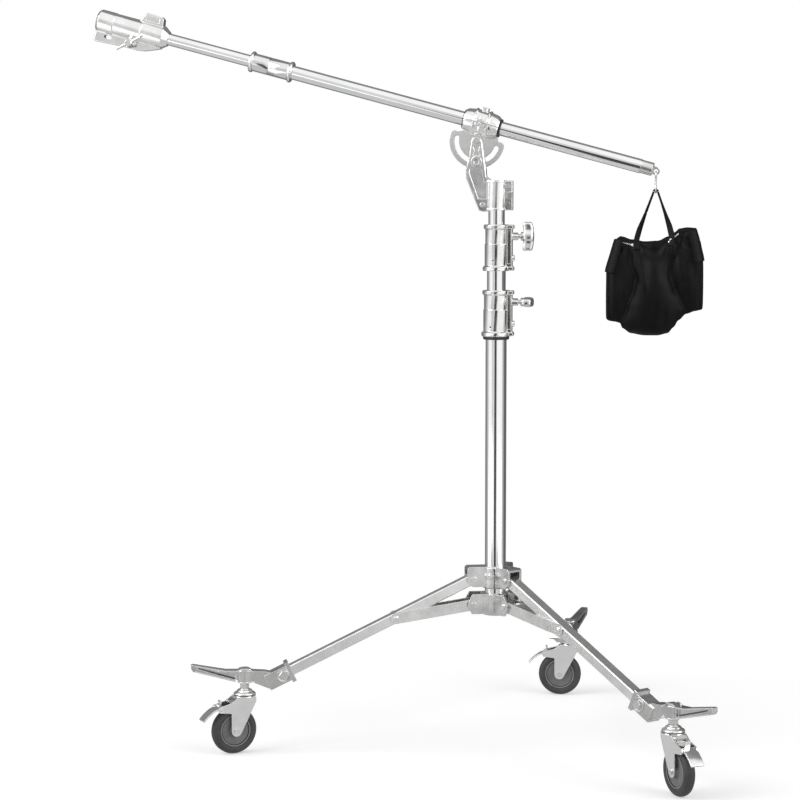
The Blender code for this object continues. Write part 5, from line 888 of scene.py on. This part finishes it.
hem_nylon = cloth_finish("hem_nylon", grey(0.0022, -0.0002), grey(0.0075, -0.0003), 420.0, 0.00018)
strips = []
for side, face_name in ((-1, "front"), (1, "back")):
    for name, crease, shift, foot, rise in (
        ("left", crease_left, 0.0022, 0.905, 0.175),
        ("right", crease_right, -0.0022, 0.938, 0.15),
    ):
        heights = [foot + rise * k / 34 for k in range(35)]
        line = [(along_table(crease, z)[0] + shift, z) for z in heights]
        strips.append(sewn_strip(f"panel_hem_{face_name}_{name}", line, side, 0.0016, 0.0007))
for name, share, from_z, to_z in (("left", 0.03, 0.92, 1.045), ("right", 0.975, 0.945, 1.07)):
    line = [(bag_low.x + bag_width * share, from_z + (to_z - from_z) * k / 30) for k in range(31)]
    strips.append(sewn_strip("side_seam_" + name, line, -1, 0.0012, 0.0008))
mouth_shares = [0.1 + 0.82 * k / 60 for k in range(61)]
mouth_line = [(bag_low.x + bag_width * share, mouth_at(share) - 0.0065) for share in mouth_shares]
strips.append(sewn_strip("mouth_hem_front", mouth_line, -1, 0.0032, 0.0007))
strips.append(sewn_strip("mouth_hem_back", mouth_line, 1, 0.0032, 0.0007))
flap_turns = 13
flap_left = [(0.4462, 1.089), (0.4405, 1.069), (0.4345, 1.048), (0.429, 1.031), (0.4262, 1.018)]
flap_right = [(0.6175, 1.108), (0.6235, 1.09), (0.628, 1.07), (0.6322, 1.054), (0.6345, 1.042)]
for name, outer, inward in (("left", flap_left, 1), ("right", flap_right, -1)):
    verts, faces = [], []
    for row, (x, z) in enumerate(outer):
        reach = 0.016 + 0.006 * row / 4
        for k in range(flap_turns):
            turn = math.pi * (k / (flap_turns - 1) - 0.5)
            back = 1 - math.cos(turn)
            verts.append((x + inward * 0.02 * back, column_y + reach * math.sin(turn), z - 0.004 * back))
    for row in range(len(outer) - 1):
        for k in range(flap_turns - 1):
            a = row * flap_turns + k
            faces.append((a, a + 1, a + 1 + flap_turns, a + flap_turns))
    flap = new_piece("side_flap_" + name, verts, faces, hem_nylon)
    plies = flap.modifiers.new("two_plies", "SOLIDIFY")
    plies.thickness = 0.0018
    plies.offset = 0
    made_finer(flap, 2)
    strips.append(flap)
joined([bag] + strips)
fitted(bag, "bag", "sandbag")

# Zips: two short zips along the mouth's corners, with nickel teeth on black tape, each with a slider
# and a pull
zip_edge = grey(0.95, 0.01)
zip_nickel = metal_finish("zip_nickel", grey(0.82, 0.01), grey(0.62, 0.01), zip_edge, 0.18, 0.2, 0.0003)
tooth_quads = ((0, 1, 3, 2), (4, 6, 7, 5), (0, 4, 5, 1), (2, 3, 7, 6), (0, 2, 6, 4), (1, 5, 7, 3))
# place along the zip, half width and half thickness of the slider; place and half width of the pull
slider_shape = (
    (-0.003, 0.0026, 0.001), (0.0, 0.0034, 0.0016),
    (0.004, 0.0034, 0.0016), (0.0065, 0.002, 0.001),
)
pull_shape = (
    (0.0, 0.0016), (0.0015, 0.0024), (0.0035, 0.0018), (0.009, 0.0022),
    (0.0125, 0.003), (0.0145, 0.003), (0.0155, 0.002),
)
for name, start, end, count, size in (
    ("left", Vector((0.45, 1.0835)), Vector((0.4855, 1.0745)), 17, 1.0),
    ("right", Vector((0.58, 1.098)), Vector((0.5655, 1.087)), 11, 0.45),
):
    verts, faces = [], []
    spots = [on_bag(*start.lerp(end, k / (count - 1)), -1, 0.0012) for k in range(count)]
    run = (spots[-1][0] - spots[0][0]).normalized()
    for k, (place, facing) in enumerate(spots):
        wide = facing.cross(run).normalized() * 0.0019
        middle = place + wide * (0.25 if k % 2 else -0.25)
        base = len(verts)
        for a in (-1, 1):
            for b, taper in ((-1, 1.0), (1, 0.7)):
                for c in (-1, 1):
                    corner = wide * (a * taper) + facing * (0.0007 * b) + run * (0.00075 * c * taper)
                    verts.append(middle + corner)
        faces += [tuple(base + q for q in quad) for quad in tooth_quads]
    teeth = new_piece("zip_teeth_" + name, verts, faces, zip_nickel)
    place, facing = spots[-1]
    across = facing.cross(run).normalized() * size
    droop = (run * 0.72 + up(-0.55)).normalized()
    seat = place + facing * 0.0012
    rows = [(seat + run * (d * size), across * w, facing * t) for d, w, t in slider_shape]
    slider = ribbon("zip_slider_" + name, rows, zip_nickel)
    across = facing.cross(droop).normalized() * size
    hinge = place + run * (0.0055 * size) + facing * 0.0022
    rows = [(hinge + droop * (d * size), across * w, facing * 0.0006) for d, w in pull_shape]
    pull = ribbon("zip_pull_" + name, rows, zip_nickel)
    for piece in (teeth, slider, pull):
        fitted(piece, "bag")

# Carrying strap: nylon webbing sewn to the mouth at both feet and gathered over the hook
strap_web = cloth_finish("strap_web", grey(0.0026, -0.0002), grey(0.01, -0.0004), 330.0, 0.0003)
hook_x, hook_low_z, strap_top_z = 0.531704, 1.1853, 1.1862
# half width and half thickness of the webbing, and how they change where it is gathered on the hook
strap_half, strap_thick = 0.0068, 0.0011
gather_half, gather_extra = 0.0026, 0.0012
strap_steps, bend_steps = 16, 6


def strap_leg(name, foot_x, foot_z, apex_x):
    """A leg of the strap, from its foot on the pouch's front up to the hook."""
    rows = []
    for k in range(5):
        place, facing = on_bag(foot_x, foot_z - 0.02 + 0.005 * k, -1, 0.0022)
        across = up(1).cross(facing).normalized()
        rows.append((place, across * strap_half, facing * strap_thick))
    last_place, last_wide, last_thick = rows[-1]
    apex = Vector((apex_x, column_y, strap_top_z))
    along = (apex - last_place).normalized()
    hook_way = Vector((0, 1 if last_wide.y >= 0 else -1, 0))
    for k in range(1, strap_steps + 1):
        share = k / strap_steps
        eased = share * share * (3 - 2 * share)
        start = last_place + Vector((0, 0.004, 0.006)) * min(share * 6, 1)
        wide = last_wide.normalized().lerp(hook_way, eased).normalized()
        thick = along.cross(wide).normalized()
        if thick.dot(last_thick) < 0:
            thick = -thick
        half = strap_half + (gather_half - strap_half) * eased
        rows.append((start.lerp(apex, share), wide * half, thick * (strap_thick + gather_extra * eased)))
    return ribbon(name, rows, strap_web)


strap_left = strap_leg("strap_left", 0.4925, 1.0855, hook_x - 0.0044)
strap_right = strap_leg("strap_right", 0.5665, 1.0945, hook_x + 0.0044)
bend = []
for k in range(bend_steps + 1):
    turn = math.radians(160 - 140 * k / bend_steps)
    out = Vector((math.cos(turn), 0, math.sin(turn)))
    middle = Vector((hook_x, column_y, hook_low_z)) + out * 0.0052
    bend.append((middle, Vector((0, gather_half, 0)), out * 0.0022))
strap = ribbon("bag_strap_webbing", bend, strap_web)
joined([strap, strap_left, strap_right])
fitted(strap, "bag", "bag_strap")

# Studio: a white floor and surround, a large soft lamp on either side, and grey and dark cards out of
# the camera's sight that give the chrome its bands.
floor_far_glow, floor_near_drop, lamp_spread = 0.715, 0.34, 4.5


def bare_tree(owner):
    """The emptied node tree of a material or a world."""
    owner.use_nodes = True
    owner.node_tree.nodes.clear()
    return owner.node_tree


def seen_share(tree):
    """1 for what is seen, 0 for what only lights the stand."""
    path = tree.nodes.new("ShaderNodeLightPath").outputs
    straight = sum_of(tree, path["Is Camera Ray"], path["Is Glossy Ray"])
    return sum_of(tree, straight, path["Is Transmission Ray"], "ADD", True)


# The floor's glow falls off towards the stand, where the lamps light it, so that both add up to white
floor_white = bpy.data.materials.new("floor_white")
tree = bare_tree(floor_white)
floor_paint = add_node(tree, "BsdfDiffuse", {"Color": (0.8, 0.8, 0.8, 1)}).outputs["BSDF"]
from_column = {"Vector": own_place(tree), "Location": (-column_x, -column_y, 0)}
floor_reach = vector_step(tree, "LENGTH", {0: add_node(tree, "Mapping", from_column).outputs["Vector"]})
lamp_fall = product_of(tree, floor_reach, -1 / lamp_spread)
lamp_share = sum_of(tree, lamp_fall, 0.0, "EXPONENT")
floor_lit = sum_of(tree, product_of(tree, lamp_share, -floor_near_drop), floor_far_glow)
floor_glow = add_node(tree, "Emission", {"Strength": floor_lit}).outputs["Emission"]
floor_both = add_node(tree, "AddShader", {0: floor_paint, 1: floor_glow}).outputs[0]
floor_pick = add_node(tree, "MixShader", {0: seen_share(tree), 1: floor_paint, 2: floor_both}).outputs[0]
add_node(tree, "OutputMaterial", {"Surface": floor_pick})


def sheet_piece(name, low_x, low_y, high_x, high_y, z, surface):
    """A flat level sheet for the studio."""
    corners = [(low_x, low_y, z), (high_x, low_y, z), (high_x, high_y, z), (low_x, high_y, z)]
    piece = new_piece(name, corners, [(0, 1, 2, 3)], surface)
    return piece


def card_paint(name, tone):
    """A card that glows evenly in one grey."""
    made = bpy.data.materials.new(name)
    tree = bare_tree(made)
    glow = add_node(tree, "Emission", {"Color": (tone, tone, tone, 1)}).outputs["Emission"]
    add_node(tree, "OutputMaterial", {"Surface": glow})
    return made


def for_mirrors_only(piece):
    """Keeps a card out of everything but reflections."""
    piece.visible_camera = False
    piece.visible_diffuse = False
    piece.visible_shadow = False
    piece.visible_transmission = False


camera_bearing, card_steps = 6.05, 16


def studio_card(name, start, end, rows, paint):
    """A card round the column, between two bearings and over two (reach, height) rows."""
    verts = []
    for k in range(card_steps + 1):
        bearing = math.radians(camera_bearing + start + (end - start) * k / card_steps)
        way = Vector((math.sin(bearing), -math.cos(bearing), 0))
        verts += [column_foot + way * reach + up(height) for reach, height in rows]
    faces = [(2 * k, 2 * k + 1, 2 * k + 3, 2 * k + 2) for k in range(card_steps)]
    piece = new_piece(name, verts, faces, paint)
    for_mirrors_only(piece)


sheet_piece("floor", -30, -30, 30, 30, 0, floor_white)
# name and number, bearings, reach, height, tone, and where the card's floor part starts and lies
for name, number, start, end, reach, height, tone, floor_from, lift in (
    ("camera", "", -17, 5, 6.2, 1.32, 0.06, 1.3, 0.006),
    ("front", "", -24, 12, 6.5, 4.45, 0.72, 1.3, 0.004),
    ("left_soft", "", -47, -24, 6.6, 3.4, 0.66, None, None),
    ("back_left", "", -180, -116, 7.0, 5.0, 0.24, 0.9, 0.002),
    ("back_right", "", 102, 180, 7.0, 5.0, 0.13, 0.9, 0.002),
    ("fade", "_0", -116, -106, 7.0, 5.0, 0.36, 0.9, 0.0025),
    ("fade", "_1", -106, -96, 7.0, 5.0, 0.5, 0.9, 0.0025),
    ("fade", "_2", -96, -84, 7.0, 5.0, 0.68, 0.9, 0.0025),
    ("fade", "_3", 92, 102, 7.0, 5.0, 0.28, 0.9, 0.0025),
    ("fade", "_4", 82, 92, 7.0, 5.0, 0.46, 0.9, 0.0025),
    ("fade", "_5", 70, 82, 7.0, 5.0, 0.66, 0.9, 0.0025),
):
    paint = card_paint(f"{name}_card{number}", tone)
    studio_card(f"card_{name}{number}", start, end, ((reach, 0), (reach, height)), paint)
    if floor_from:
        studio_card(f"card_{name}_floor{number}", start, end, ((floor_from, lift), (reach, lift)), paint)
under_paint, over_paint = card_paint("under_card", 0.6), card_paint("overhead_card", 0.24)
for_mirrors_only(sheet_piece("card_under_boom", -1.6, -2.75, 1.7, 0.6, 0.003, under_paint))
for_mirrors_only(sheet_piece("card_overhead", -6, 0.2, 6, 7, 5, over_paint))

world = bpy.data.worlds.new("studio_air")
scene.world = world
tree = bare_tree(world)
shown = add_node(tree, "Background", {"Color": (1, 1, 1, 1), "Strength": 1.0}).outputs["Background"]
lighting = add_node(tree, "Background", {"Color": (1, 1, 1, 1), "Strength": 0.38}).outputs["Background"]
world_pick = add_node(tree, "MixShader", {0: seen_share(tree), 1: lighting, 2: shown}).outputs[0]
add_node(tree, "OutputWorld", {"Surface": world_pick})

lamp_target = Vector((0.15, -0.08, 0.8))
for name, place, size, power in (
    ("lamp_left", (-4.2, -2.6, 3.8), 4.4, 190),
    ("lamp_right", (4.8, -2.0, 3.2), 4.0, 110),
):
    lamp = bpy.data.lights.new(name, "AREA")
    lamp.size = size
    lamp.energy = power
    stand = placed(name, lamp)
    stand.location = place
    stand.rotation_euler = (lamp_target - Vector(place)).to_track_quat("-Z", "Y").to_euler()

camera_data = bpy.data.cameras.new("camera")
camera_data.lens = 103.9
camera_data.sensor_width = 36.0
camera = placed("camera", camera_data)
camera.location = (column_x + 0.518, column_y - 4.885, 1.159)
camera.rotation_euler = (math.radians(85.17), 0, math.radians(8.44))
scene.camera = camera
scene.view_settings.view_transform = "Standard"
